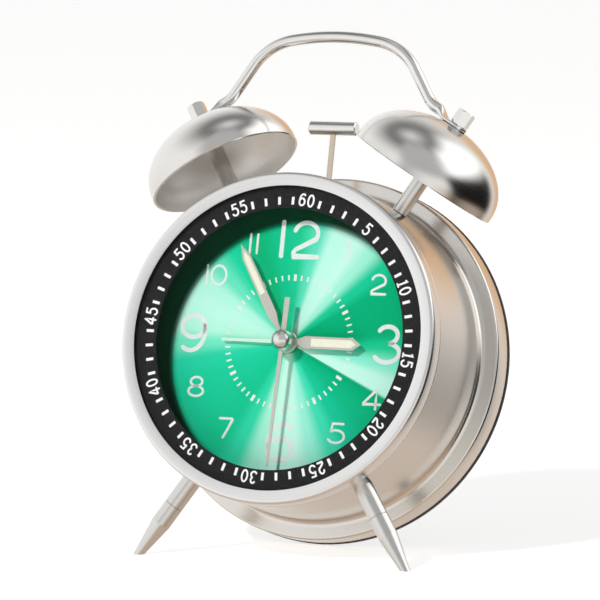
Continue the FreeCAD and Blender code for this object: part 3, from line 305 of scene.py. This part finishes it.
# ---------------------------------------------------------------- glass
# A flat clear disc that lies behind the bezel's lip. It shows only a faint gloss, which grows as
# the eye goes round to the side.
glass = bpy.data.materials.new("clear_glass")
glass.use_nodes = True
glass_shader = glass.node_tree.nodes["Principled BSDF"]
glass_shader.inputs["Base Color"].default_value = (1, 1, 1, 1)
glass_shader.inputs["Roughness"].default_value = 0.02
glass_weight = glass.node_tree.nodes.new("ShaderNodeLayerWeight")
glass_weight.inputs["Blend"].default_value = 0.12
glass_alpha = glass.node_tree.nodes.new("ShaderNodeMapRange")
glass_alpha.inputs["To Min"].default_value = 0.001
glass_alpha.inputs["To Max"].default_value = 0.1
glass.node_tree.links.new(glass_weight.outputs["Fresnel"], glass_alpha.inputs["Value"])
glass.node_tree.links.new(glass_alpha.outputs["Result"], glass_shader.inputs["Alpha"])
GLASS_RADIUS = 48.1
GLASS_FRONT, GLASS_BACK = 0.62, 1.98
glass_mesh = lathe("glass", [(0, GLASS_FRONT), (GLASS_RADIUS, GLASS_FRONT),
                             (GLASS_RADIUS, GLASS_BACK), (0, GLASS_BACK)])
add("glass_disc", glass_mesh, "case", "front_lens", material=glass, slot="glass", place=CLOCK)

# ---------------------------------------------------------------- minute ring
# A dark flat ring behind the glass, printed in white with a number at each fifth minute and a
# stroke at the others. It sits turned a little past the dial's own marks.
RING_BORE = 39.86
RING_FACE = 2.05
RING_BACK = 2.8
RING_EDGE = 48.1
RING_TURN = 6.75
MARK_INNER, MARK_OUTER = 40.7, 43.05
NUMBER_RADIUS = 42.4
ring_black = finish("ring_black", (0.017, 0.017, 0.018), metallic=0.0, roughness=0.55,
                    scale=900, depth=0.004, vary=0.2, specular=0.08)
ring_mesh = lathe("minute_ring", rounded([
    (RING_BORE, RING_FACE, 0.1), (RING_EDGE, RING_FACE, 0), (RING_EDGE, RING_BACK, 0),
    (RING_BORE, RING_BACK, 0.1)]))
add("minute_ring_disc", ring_mesh, "case", "minute_ring", material=ring_black,
    slot="ring_black", place=CLOCK)

PRINT_LIFT = 0.03


class Print:
    """Flat raised strokes on a plane facing the viewer, gathered into one mesh."""

    def __init__(self, plane, lift=PRINT_LIFT):
        self.build = bmesh.new()
        self.plane = plane
        self.lift = lift

    def stroke(self, points, width, ends="round"):
        """A line of one width through (x, z) points; closed when the last repeats the first."""
        points = [Vector(point) for point in points]
        closed = (points[0] - points[-1]).length < 1e-6
        widths = [width / 2] * len(points)
        if not closed and ends == "round":
            caps = [math.radians(angle) for angle in (90, 67, 45, 22)]
            first = (points[0] - points[1]).normalized()
            last = (points[-1] - points[-2]).normalized()
            start = [points[0] + first * math.sin(a) * width / 2 for a in caps]
            end = [points[-1] + last * math.sin(a) * width / 2 for a in reversed(caps)]
            cap_widths = [max(0.002, math.cos(a) * width / 2) for a in caps]
            points = start + points + end
            widths = cap_widths + widths + list(reversed(cap_widths))
        sections = []
        count = len(points)
        for index, (point, half) in enumerate(zip(points, widths)):
            if closed:
                before, after = points[index - 1], points[(index + 1) % count]
                if index in (0, count - 1):
                    before, after = points[-2], points[1]
            else:
                before, after = points[max(0, index - 1)], points[min(count - 1, index + 1)]
            along = (after - before).normalized()
            side = Vector((-along.y, along.x)) * half
            if 0 < index < count - 1:
                bend = (point - before).normalized().dot(along)
                side /= max(0.75, bend)
            left, right = point + side, point - side
            front, back = self.plane - self.lift, self.plane + 0.01
            corners = [(left, front), (right, front), (right, back), (left, back)]
            sections.append([self.build.verts.new((spot.x * MM, depth * MM, spot.y * MM))
                             for spot, depth in corners])
        if closed:
            sections[-1] = sections[0]
        for here, onward in zip(sections, sections[1:]):
            for side in range(4):
                other = (side + 1) % 4
                self.build.faces.new((here[side], here[other], onward[other], onward[side]))
        if not closed:
            self.build.faces.new(sections[0])
            self.build.faces.new(list(reversed(sections[-1])))

    def mesh(self, name):
        """The gathered strokes as one mesh, without stray points."""
        loose = [vert for vert in self.build.verts if not vert.link_faces]
        bmesh.ops.delete(self.build, geom=loose, context="VERTS")
        bmesh.ops.recalc_face_normals(self.build, faces=self.build.faces)
        made = bpy.data.meshes.new(name)
        self.build.to_mesh(made)
        self.build.free()
        return made


def bow(cx, cz, across, tall, start, end, steps=28):
    """Points of an elliptical arc; angles run anticlockwise from three o'clock."""
    turns = [math.radians(start + (end - start) * step / steps) for step in range(steps + 1)]
    return [(cx + across * math.cos(a), cz + tall * math.sin(a)) for a in turns]


# Centre lines of the figures, one unit tall, with round ends; "i" is a one with a flag and a foot.
FIGURES = {
    "0": (0.76, [bow(0.38, 0.5, 0.38, 0.5, 0, 360, 40)]),
    "1": (0.0, [[(0, 1), (0, 0.5), (0, 0)]]),
    "i": (0.42, [[(0.02, 0.84), (0.21, 1), (0.21, 0.5), (0.21, 0)], [(0, 0), (0.42, 0)]]),
    "2": (0.70, [bow(0.34, 0.68, 0.33, 0.32, 165, -30)
                 + [(0.07, 0.20), (0.01, 0.10), (0.0, 0.0), (0.70, 0)]]),
    "3": (0.70, [bow(0.30, 0.76, 0.29, 0.24, 150, -82) + bow(0.30, 0.265, 0.38, 0.265, 82, -150)]),
    "4": (0.86, [[(0.64, 0), (0.64, 0.5), (0.64, 1), (0.03, 0.30), (0.0, 0.25), (0.86, 0.25)]]),
    "5": (0.76, [[(0.68, 1), (0.16, 1), (0.09, 0.56)] + bow(0.35, 0.33, 0.41, 0.33, 130, -150)]),
    "6": (0.74, [bow(0.37, 0.31, 0.37, 0.31, 0, 360, 36), bow(0.43, 0.5, 0.43, 0.5, 205, 58)]),
    "7": (0.66, [[(0, 1), (0.62, 1), (0.63, 0.96), (0.44, 0.48), (0.22, 0)]]),
    "8": (0.74, [bow(0.37, 0.76, 0.29, 0.24, 0, 360, 36), bow(0.37, 0.26, 0.37, 0.26, 0, 360, 36)]),
    "9": (0.74, [bow(0.37, 0.69, 0.37, 0.31, 0, 360, 36), bow(0.31, 0.5, 0.43, 0.5, 25, -122)]),
}


def write(sheet, text, centre, height, width, turn=0.0, spacing=0.26, squeeze=1.0):
    """Draw figures centred on (x, z) in mm, turned clockwise by degrees."""
    widths = [FIGURES[figure][0] * squeeze for figure in text]
    total = sum(widths) + spacing * (len(text) - 1)
    cursor = -total / 2
    cosine, sine = math.cos(math.radians(turn)), math.sin(math.radians(turn))
    for figure, wide in zip(text, widths):
        for line in FIGURES[figure][1]:
            points = []
            for across, rise in line:
                x = (cursor + across * squeeze) * height
                z = (rise - 0.5) * height
                points.append((centre[0] + x * cosine + z * sine, centre[1] - x * sine + z * cosine))
            sheet.stroke(points, width)
        cursor += wide + spacing


def polar(radius, angle):
    """The (x, z) point at a radius and a clockwise angle from twelve."""
    return (radius * math.sin(math.radians(angle)), radius * math.cos(math.radians(angle)))


ring_print = Print(RING_FACE)
for minute in range(1, 61):
    angle = minute * 6 + RING_TURN
    if minute % 5:
        ring_print.stroke([polar(MARK_INNER, angle), polar(MARK_OUTER, angle)], 0.85, ends="square")
    else:
        write(ring_print, str(minute).replace("1", "i"), polar(NUMBER_RADIUS, angle), 3.45, 0.56, angle,
              spacing=0.32, squeeze=0.66)
white_print = finish("white_print", (0.9, 0.9, 0.88), metallic=0.0, roughness=0.55, scale=1500,
                     depth=0.003, vary=0.03)
add("minute_figures", ring_print.mesh("minute_figures"), "case", material=white_print,
    slot="ring_black", place=CLOCK)

# ---------------------------------------------------------------- dial wall
# The moulded spacer between the minute ring and the dial, coloured a very deep green. It keeps
# the dial far enough behind the glass for the four hands.
wall_green = finish("wall_green", (0.0, 0.03, 0.012), metallic=0.0, roughness=0.6, scale=700,
                    depth=0.01, vary=0.1, specular=0.03)
WALL_BORE = 44.05
WALL_RADIUS = 46.9
WALL_FRONT, WALL_BACK = 2.85, 11.05
wall_mesh = lathe("dial_wall", [(WALL_BORE, WALL_FRONT), (WALL_RADIUS, WALL_FRONT),
                                (WALL_RADIUS, WALL_BACK), (WALL_BORE, WALL_BACK)])
add("dial_wall", wall_mesh, "case", "dial_spacer", material=wall_green,
    slot="black_plastic", place=CLOCK)

# ---------------------------------------------------------------- dial
# A green lacquered disc. Its sun-ray sheen is painted on: pale fans from the centre over fine
# radial brushing. The dark rim, up and to the left, is painted where the ring's shadow falls.
DIAL_FACE = 11.1
# Painted shadow of the minute ring on the dial: its near-black green, the offset of its circle down and to
# the right, and where it fades in.
RING_SHADOW_GREEN = (0.0, 0.05, 0.018)
SHADE_SHIFT = (2.2, -3.5)
SHADE_START = 38.0
SHADE_END = 41.5
# Painted sheen: colours at angles clockwise from twelve, whose pale fans stand for the light's reflection in
# the brushed lacquer.
SUNRAY_SHEEN = (
    (0, (0.012, 0.55, 0.27)), (11, (0.10, 0.70, 0.48)), (19, (0.48, 0.90, 0.75)),
    (31, (0.53, 0.90, 0.77)), (40, (0.33, 0.84, 0.64)), (49, (0.01, 0.56, 0.30)),
    (60, (0.0, 0.41, 0.18)), (82, (0.0, 0.40, 0.17)), (90, (0.01, 0.56, 0.27)),
    (100, (0.23, 0.79, 0.59)), (108, (0.52, 0.90, 0.76)), (114.5, (0.53, 0.91, 0.77)),
    (116, (0.0, 0.38, 0.17)), (130, (0.002, 0.46, 0.22)), (142, (0.008, 0.53, 0.30)),
    (152, (0.05, 0.68, 0.43)), (162, (0.30, 0.83, 0.65)), (171, (0.53, 0.91, 0.77)),
    (182, (0.54, 0.92, 0.77)), (191, (0.36, 0.84, 0.64)), (201, (0.03, 0.64, 0.38)),
    (213, (0.007, 0.53, 0.27)), (245, (0.01, 0.57, 0.31)), (258, (0.02, 0.60, 0.36)),
    (268, (0.16, 0.76, 0.52)), (278, (0.45, 0.88, 0.70)), (290, (0.48, 0.90, 0.75)),
    (301, (0.42, 0.87, 0.70)), (311, (0.13, 0.73, 0.50)), (322, (0.012, 0.62, 0.33)),
    (338, (0.004, 0.46, 0.19)), (350, (0.006, 0.52, 0.26)))
dial_paint = bpy.data.materials.new("painted_sunray_sheen")
dial_paint.use_nodes = True
tree = dial_paint.node_tree
dial_shader = tree.nodes["Principled BSDF"]
dial_shader.inputs["Metallic"].default_value = 0.0
dial_shader.inputs["Specular IOR Level"].default_value = 0.02
place = tree.nodes.new("ShaderNodeTexCoord")
split = tree.nodes.new("ShaderNodeSeparateXYZ")
tree.links.new(place.outputs["Object"], split.inputs[0])
bearing = tree.nodes.new("ShaderNodeMath")
bearing.operation = "ARCTAN2"
tree.links.new(split.outputs["X"], bearing.inputs[0])
tree.links.new(split.outputs["Z"], bearing.inputs[1])
share = tree.nodes.new("ShaderNodeMath")
share.operation = "DIVIDE"
tree.links.new(bearing.outputs[0], share.inputs[0])
share.inputs[1].default_value = 2 * math.pi
whole = tree.nodes.new("ShaderNodeMath")
whole.operation = "FRACT"
tree.links.new(share.outputs[0], whole.inputs[0])


def half_ramp(rays, start, end):
    """One colour ramp over part of the turn, since a ramp holds 32 stops."""
    stretch = tree.nodes.new("ShaderNodeMapRange")
    stretch.inputs["From Min"].default_value = start / 360
    stretch.inputs["From Max"].default_value = end / 360
    tree.links.new(whole.outputs[0], stretch.inputs["Value"])
    node = tree.nodes.new("ShaderNodeValToRGB")
    node.color_ramp.interpolation = "EASE"
    for angle, colour in rays:
        stop = node.color_ramp.elements.new((angle - start) / (end - start))
        stop.color = (*colour, 1)
    node.color_ramp.elements.remove(node.color_ramp.elements[0])
    node.color_ramp.elements.remove(node.color_ramp.elements[-1])
    tree.links.new(stretch.outputs["Result"], node.inputs["Fac"])
    return node


first_half = half_ramp([ray for ray in SUNRAY_SHEEN if ray[0] <= 182], -1, 183)
second_half = half_ramp([ray for ray in SUNRAY_SHEEN if ray[0] >= 182] + [(360, SUNRAY_SHEEN[0][1])], 181, 361)
later = tree.nodes.new("ShaderNodeMath")
later.operation = "GREATER_THAN"
later.inputs[1].default_value = 182 / 360
tree.links.new(whole.outputs[0], later.inputs[0])
both = tree.nodes.new("ShaderNodeMix")
both.data_type = "RGBA"
tree.links.new(later.outputs[0], both.inputs["Factor"])
tree.links.new(first_half.outputs["Color"], both.inputs["A"])
tree.links.new(second_half.outputs["Color"], both.inputs["B"])
brush = tree.nodes.new("ShaderNodeTexNoise")
brush.noise_dimensions = "1D"
brush.inputs["Scale"].default_value = 700
brush.inputs["Detail"].default_value = 3
tree.links.new(whole.outputs[0], brush.inputs["W"])
streak = tree.nodes.new("ShaderNodeMapRange")
streak.inputs["To Min"].default_value = 0.94
streak.inputs["To Max"].default_value = 1.05
tree.links.new(brush.outputs["Fac"], streak.inputs["Value"])
streaked = tree.nodes.new("ShaderNodeVectorMath")
streaked.operation = "SCALE"
tree.links.new(both.outputs["Result"], streaked.inputs[0])
tree.links.new(streak.outputs["Result"], streaked.inputs["Scale"])
# Painted shadow: outside a circle set off down and to the right, the dial's colour fades to a near-black
# green, as under the ring's shadow.
shade_centre = tree.nodes.new("ShaderNodeVectorMath")
shade_centre.operation = "DISTANCE"
tree.links.new(place.outputs["Object"], shade_centre.inputs[0])
shade_centre.inputs[1].default_value = (SHADE_SHIFT[0] * MM, DIAL_FACE * MM, SHADE_SHIFT[1] * MM)
rim_shade = tree.nodes.new("ShaderNodeMapRange")
rim_shade.interpolation_type = "SMOOTHSTEP"
rim_shade.inputs["From Min"].default_value = SHADE_START * MM
rim_shade.inputs["From Max"].default_value = SHADE_END * MM
tree.links.new(shade_centre.outputs["Value"], rim_shade.inputs["Value"])
shaded = tree.nodes.new("ShaderNodeMix")
shaded.data_type = "RGBA"
tree.links.new(rim_shade.outputs["Result"], shaded.inputs["Factor"])
tree.links.new(streaked.outputs[0], shaded.inputs["A"])
shaded.inputs["B"].default_value = (*RING_SHADOW_GREEN, 1)
tree.links.new(shaded.outputs["Result"], dial_shader.inputs["Base Color"])
gloss = tree.nodes.new("ShaderNodeMapRange")
gloss.inputs["To Min"].default_value = 0.55
gloss.inputs["To Max"].default_value = 0.7
tree.links.new(brush.outputs["Fac"], gloss.inputs["Value"])
tree.links.new(gloss.outputs["Result"], dial_shader.inputs["Roughness"])
DIAL_BORE = 3.1
DIAL_RADIUS = 46.9
DIAL_BACK = 11.6
dial_mesh = lathe("dial", [(DIAL_BORE, DIAL_FACE), (DIAL_RADIUS, DIAL_FACE),
                           (DIAL_RADIUS, DIAL_BACK), (DIAL_BORE, DIAL_BACK)])
add("dial_plate", dial_mesh, "case", "dial", material=dial_paint, slot="dial_green", place=CLOCK)

# ---------------------------------------------------------------- dial figures
# Printed on the dial in off-white: four large figures, the smaller hours between them, and a
# track of sixty marks half way in.
dial_print = Print(DIAL_FACE)
LARGE_STROKE = 1.35
TRACK_RADIUS = 19.9
write(dial_print, "12", (0.5, 31.6), 10.4, LARGE_STROKE, spacing=0.36, squeeze=1.1)
write(dial_print, "3", (32.2, 0.8), 10.8, LARGE_STROKE)
write(dial_print, "6", (0.3, -30.3), 10.8, LARGE_STROKE)
write(dial_print, "9", (-31.6, 1.8), 10.8, LARGE_STROKE, squeeze=0.95)
SMALL_FIGURE = 5.8
SMALL_STROKE = 0.72
for text, spot in (("1", (16.2, 28.8)), ("2", (27.2, 18.8)), ("4", (28.4, -16.0)),
                   ("5", (18.2, -26.7)), ("7", (-17.8, -26.8)), ("8", (-28.9, -14.6)),
                   ("11", (-14.6, 29.8))):
    write(dial_print, text, spot, SMALL_FIGURE, SMALL_STROKE, spacing=0.4, squeeze=1.12)
write(dial_print, "10", (-25.8, 19.8), SMALL_FIGURE, SMALL_STROKE, spacing=0.25, squeeze=1.1)
for mark in range(60):
    bold = mark % 5 == 0
    reach = 1.0 if bold else 0.8
    dial_print.stroke([polar(TRACK_RADIUS - reach, mark * 6), polar(TRACK_RADIUS + reach, mark * 6)],
                      0.9 if bold else 0.5, ends="square")
dial_white = finish("dial_white", (0.74, 0.80, 0.76), metallic=0.0, roughness=0.5, scale=1200,
                    depth=0.003, vary=0.04)
add("dial_figures", dial_print.mesh("dial_figures"), "case", material=dial_white,
    slot="dial_green", place=CLOCK)

# ---------------------------------------------------------------- hands
# Stamped hands in warm grey lacquer, with pale glowing paint in the minute and hour hands. They
# turn one behind another under a satin steel cap, and the short mint hand sets the alarm.
hand_grey = finish("hand_grey", (0.55, 0.53, 0.48), metallic=0.3, roughness=0.42, scale=1800,
                   depth=0.004, vary=0.05)
lume_paint = finish("lume_paint", (0.80, 0.80, 0.64), metallic=0.0, roughness=0.7, scale=2500,
                    depth=0.01, vary=0.05)
mint_paint = finish("mint_paint", (0.62, 0.86, 0.72), metallic=0.1, roughness=0.45, scale=1800,
                    depth=0.004, vary=0.04)


def dress(material, *names):
    """Give CAD nodes a material."""
    for name in names:
        node = frame["nodes"][name]
        node.data.materials.clear()
        node.data.materials.append(material)


dress(hand_grey, "second_hand", "minute_hand", "hour_hand")
dress(lume_paint, "minute_lume", "hour_lume")
dress(mint_paint, "alarm_hand")
CAP_RADIUS = 3.38
CAP_PLANE = 5.55
cap_turns = [math.radians(turn) for turn in range(6, 91, 6)]
cap_curve = [(CAP_RADIUS * math.sin(turn), CAP_PLANE - CAP_RADIUS * math.cos(turn))
             for turn in cap_turns]
cap_mesh = lathe("hub_cap", [(0, CAP_PLANE - CAP_RADIUS)] + cap_curve + [(0, CAP_PLANE)], steps=64)
cap_steel = finish("cap_steel", (0.84, 0.84, 0.82), roughness=0.24, scale=400, depth=0.002, vary=0.03)
add("hub_cap_ball", cap_mesh, "second_hand", "hub_cap", material=cap_steel,
    slot="polished_steel", place=CLOCK)

# ---------------------------------------------------------------- drum
# The case is a spun steel drum, nickel plated and satin. It steps out to a wider rim at the
# back, which the rear cover closes.
DRUM_RADIUS = 50.4
RIM_RADIUS = 56.1
satin_nickel = finish("satin_nickel", (0.82, 0.79, 0.75), roughness=0.22, grain="turned",
                      scale=1800, depth=0.0015, vary=0.012, rough_vary=0.02)
drum_outline = rounded([
    (49.4, 6.05, 0), (DRUM_RADIUS, 6.05, 0.2), (DRUM_RADIUS, 41.3, 2.2), (RIM_RADIUS, 41.3, 0.9),
    (RIM_RADIUS, 50.3, 0.6), (55.1, 50.3, 0.1), (55.1, 42.3, 0), (49.4, 42.3, 0)], steps=7)
drum_mesh = lathe("drum", drum_outline, steps=256)
add("drum_shell", drum_mesh, "case", "case_shell", material=satin_nickel,
    slot="satin_steel", place=CLOCK)

# ---------------------------------------------------------------- bells
# Two spun steel bells, each a shallow dome with a softened lip, clamped on its post under a nut.
# Outside they are turned bright and inside they are duller.
BELL_ANGLE = 31.0
BELL_PLANE = 25.3
BELL_RADIUS = 24.0
BELL_RISE = 16.8
BELL_FOOT = 62.9
BELL_SKIRT = 1.8
BELL_WALL = 0.8
BELL_SEAT = BELL_FOOT + BELL_SKIRT + BELL_RISE - 0.3


def outward(angle, plane):
    """A frame whose y runs out from the dial's axis at a clockwise angle from twelve."""
    sine, cosine = math.sin(math.radians(angle)), math.cos(math.radians(angle))
    turn = Matrix(((cosine, sine, 0), (0, 0, -1), (-sine, cosine, 0))).to_4x4()
    return CLOCK @ Matrix.Translation((0, plane * MM, 0)) @ turn


def dome_curve(radius, rise, low, high, steps=40):
    """Points of the dome's ellipse between two heights above its skirt."""
    start, end = math.asin(low / rise), math.asin(high / rise)
    turns = [start + (end - start) * step / steps for step in range(steps + 1)]
    base = BELL_FOOT + BELL_SKIRT
    return [(radius * math.cos(a), base + rise * math.sin(a)) for a in turns]


bell_steel = finish("bell_steel", (0.82, 0.81, 0.79), roughness=0.2, grain="turned",
                    scale=1500, depth=0.004, vary=0.02)
outer = dome_curve(BELL_RADIUS, BELL_RISE, 0, BELL_RISE - 0.3)
inner = dome_curve(BELL_RADIUS - BELL_WALL, BELL_RISE - BELL_WALL, 0, BELL_RISE - BELL_WALL - 0.6)
lip = [(BELL_RADIUS - BELL_WALL, BELL_FOOT + 0.25), (BELL_RADIUS - BELL_WALL + 0.25, BELL_FOOT),
       (BELL_RADIUS - 0.25, BELL_FOOT), (BELL_RADIUS, BELL_FOOT + 0.25)]
seat = [(1.6, BELL_SEAT), (1.6, BELL_SEAT - 1.1)]
bell_inside = finish("bell_inside", (0.94, 0.93, 0.91), roughness=0.42, scale=1500,
                     depth=0.006, vary=0.03)
SIDES = (("left", -1), ("right", 1))
for side, sign in SIDES:
    mesh = lathe(f"{side}_bell", lip + outer + seat + list(reversed(inner)))
    mesh.materials.append(bell_steel)
    mesh.materials.append(bell_inside)
    for face in mesh.polygons:
        if face.normal.x * face.center.x + face.normal.z * face.center.z < 0:
            face.material_index = 1
    add(f"{side}_bell_dome", mesh, "case", f"{side}_bell",
        slot="satin_steel", place=outward(sign * BELL_ANGLE, BELL_PLANE))

# ---------------------------------------------------------------- bell posts
# Turned steel posts, narrowed to a stud at both ends. One end goes through the drum and the
# other through the bell and the handle's strap.
post_steel = finish("post_steel", (0.74, 0.73, 0.71), roughness=0.22, grain="turned",
                    scale=2200, depth=0.005, vary=0.03)
for side, sign in SIDES:
    spot = outward(sign * BELL_ANGLE, BELL_PLANE)
    post_mesh = lathe("post", rounded([
        (0, 47, 0), (1.5, 47, 0.1), (1.5, DRUM_RADIUS, 0), (2.5, DRUM_RADIUS + 0.05, 0.25),
        (2.5, BELL_SEAT - 1.2, 0.2), (1.5, BELL_SEAT - 1.1, 0), (1.5, 85.9, 0.1), (0, 85.9, 0)]), steps=64)
    add(f"{side}_post", post_mesh, "case", f"{side}_bell_post", material=post_steel,
        slot="satin_steel", place=spot)

# ---------------------------------------------------------------- handle
# One polished steel rod bent over the bells. Each end is hammered flat into a strap that lies on
# its bell under the nut.
WIRE_RADIUS = 1.8
STRAP_HALF_DEPTH = 0.58
STRAP_HALF_WIDTH = 3.1
STRAP_FLAT = 4.4
STRAP_TAPER = 3.8
STRAP_LIFT = 0.02
STRAIGHT_RUN = 11.3
SHOULDER_INSET = 20.45
SHOULDER_RISE = 23.5
CROWN_RISE = 27.1
ROD_SIDES = 28
ROD_BENDS = (9.0, 18.0, 80.0, 18.0, 9.0)


def rod_line(points, bends, step=0.7):
    """Even points along straight runs joined by tangent arcs at the inner points."""
    line = [points[0]]
    for before, corner, after, bend in zip(points, points[1:], points[2:], bends):
        inward = (before - corner).normalized()
        onward = (after - corner).normalized()
        half_turn = (math.pi - inward.angle(onward)) / 2
        reach = bend * math.tan(half_turn)
        middle = corner + (inward + onward).normalized() * bend / math.cos(half_turn)
        spoke = corner + inward * reach - middle
        axle = spoke.cross(onward)
        count = max(3, int(bend * 2 * half_turn / step))
        line += [middle + Quaternion(axle, 2 * half_turn * turn / count) @ spoke
                 for turn in range(count + 1)]
    line.append(points[-1])
    filled = [line[0]]
    for here, onward in zip(line, line[1:]):
        parts = max(1, round((onward - here).length / step))
        filled += [here.lerp(onward, part / parts) for part in range(1, parts + 1)]
    return filled


polished = finish("polished", (0.86, 0.86, 0.85), roughness=0.07, scale=300, depth=0.002,
                  vary=0.02, rough_vary=0.03)
bell_turn = math.radians(BELL_ANGLE)
across = Vector((math.cos(bell_turn), 0, -math.sin(bell_turn)))
away = Vector((math.sin(bell_turn), 0, math.cos(bell_turn)))
deep = Vector((0, BELL_PLANE, 0))
rod_end = away * (BELL_SEAT + WIRE_RADIUS) + deep
half_rod = [rod_end + across * STRAP_HALF_WIDTH, rod_end - across * STRAIGHT_RUN,
            rod_end + Vector((-SHOULDER_INSET, 0, SHOULDER_RISE))]
rod_crown = Vector((0, BELL_PLANE, rod_end.z + CROWN_RISE))
mirrored = [Vector((-point.x, point.y, point.z)) for point in reversed(half_rod)]
rod = rod_line(half_rod + [rod_crown] + mirrored, ROD_BENDS)
lengths = [0.0]
for here, onward in zip(rod, rod[1:]):
    lengths.append(lengths[-1] + (onward - here).length)
handle_build = bmesh.new()
handle_rings = []
for index, (point, run) in enumerate(zip(rod, lengths)):
    from_nut = min(run, lengths[-1] - run) - STRAP_HALF_WIDTH
    share = min(1, max(0, (from_nut - STRAP_FLAT) / STRAP_TAPER))
    share = share * share * (3 - 2 * share)
    half_depth = STRAP_HALF_DEPTH + (WIRE_RADIUS - STRAP_HALF_DEPTH) * share
    half_width = STRAP_HALF_WIDTH + (WIRE_RADIUS - STRAP_HALF_WIDTH) * share
    if from_nut < 0:
        half_width = math.sqrt(max(0.01, STRAP_HALF_WIDTH ** 2 - from_nut ** 2))
    side_away = Vector((math.copysign(away.x, point.x), 0, away.z))
    centre = point - side_away * (WIRE_RADIUS - STRAP_HALF_DEPTH - STRAP_LIFT) * (1 - share)
    along = (rod[min(index + 1, len(rod) - 1)] - rod[max(index - 1, 0)]).normalized()
    upward = along.cross(Vector((0, 1, 0)))
    squareness = 0.4 + 0.6 * share
    ring = []
    for step in range(ROD_SIDES):
        turn = 2 * math.pi * (step + 0.5) / ROD_SIDES
        wide = math.copysign(abs(math.cos(turn)) ** squareness, math.cos(turn)) * half_width
        thick = math.copysign(abs(math.sin(turn)) ** squareness, math.sin(turn)) * half_depth
        ring.append(handle_build.verts.new((centre + Vector((0, wide, 0)) + upward * thick) * MM))
    handle_rings.append(ring)
for first, second in zip(handle_rings, handle_rings[1:]):
    for step in range(ROD_SIDES):
        after = (step + 1) % ROD_SIDES
        handle_build.faces.new((first[step], second[step], second[after], first[after]))
handle_build.faces.new(handle_rings[0])
handle_build.faces.new(handle_rings[-1])
bmesh.ops.recalc_face_normals(handle_build, faces=handle_build.faces)
handle_mesh = bpy.data.meshes.new("handle_rod")
handle_build.to_mesh(handle_mesh)
handle_build.free()
handle_mesh.shade_smooth()
handle_mesh.set_sharp_from_angle(angle=math.radians(50))
add("handle_rod", handle_mesh, "case", "handle", material=polished, slot="polished_steel", place=CLOCK)

# ---------------------------------------------------------------- hammer, nuts, legs
# The polished hammer on its flat arm, hexagon cap nuts over the bells, and two turned legs that
# screw into collars on the drum.
dress(polished, "hammer_head", "left_bell_nut", "right_bell_nut")
arm_steel = finish("arm_steel", (0.72, 0.62, 0.5), roughness=0.25, scale=900, depth=0.004, vary=0.05)
dress(arm_steel, "hammer_arm")
dress(post_steel, "left_leg", "right_leg", "left_leg_collar", "right_leg_collar")

# ---------------------------------------------------------------- back
# A black moulded cover with two knobs, a battery door and a switch, held by four plated screws.
# The plated steel also serves the fixings and metal parts inside.
black_mould = finish("black_mould", (0.02, 0.02, 0.021), metallic=0.0, roughness=0.5, scale=1100,
                     depth=0.03, vary=0.25)
dress(black_mould, "rear_cover", "battery_door", "time_set_knob", "alarm_set_knob", "chassis")
plated = finish("plated_steel", (0.66, 0.66, 0.63), roughness=0.3, scale=900, depth=0.01, vary=0.08)
dress(plated, "rear_screws", "movement_screws", "bell_post_nuts", "leg_nuts", "hammer_bracket",
      "hammer_pin", "bell_motor", "motor_crank", "battery_contacts", "stator", "quartz_crystal", "rotor")

# ---------------------------------------------------------------- movement
# The quartz movement behind the dial: moulded wheels and housing, a coil of enamelled wire, a
# circuit board, a brass nut that holds the dial, and one cell.
white_mould = finish("white_mould", (0.78, 0.78, 0.74), metallic=0.0, roughness=0.45, scale=900,
                     depth=0.02, vary=0.03)
dress(white_mould, "movement_housing", "movement_cover", "middle_plate", "second_wheel",
      "step_wheel", "third_wheel", "centre_wheel", "hour_wheel", "alarm_wheel", "setting_wheel",
      "alarm_pinion", "alarm_switch")
brass = finish("turned_brass", (0.78, 0.55, 0.24), roughness=0.25, scale=1200, depth=0.006, vary=0.05)
dress(brass, "centre_nut")
copper = finish("enamelled_copper", (0.6, 0.2, 0.07), roughness=0.3, scale=3000, depth=0.03,
                vary=0.15, stretch=(4, 1, 1))
dress(copper, "coil")
board_green = finish("board_green", (0.02, 0.18, 0.06), metallic=0.0, roughness=0.4, scale=1500,
                     depth=0.01, vary=0.15)
dress(board_green, "circuit_board")
cell_wrap = finish("cell_wrap", (0.03, 0.035, 0.045), metallic=0.3, roughness=0.25, scale=500,
                   depth=0.005, vary=0.1)
dress(cell_wrap, "battery_cell")
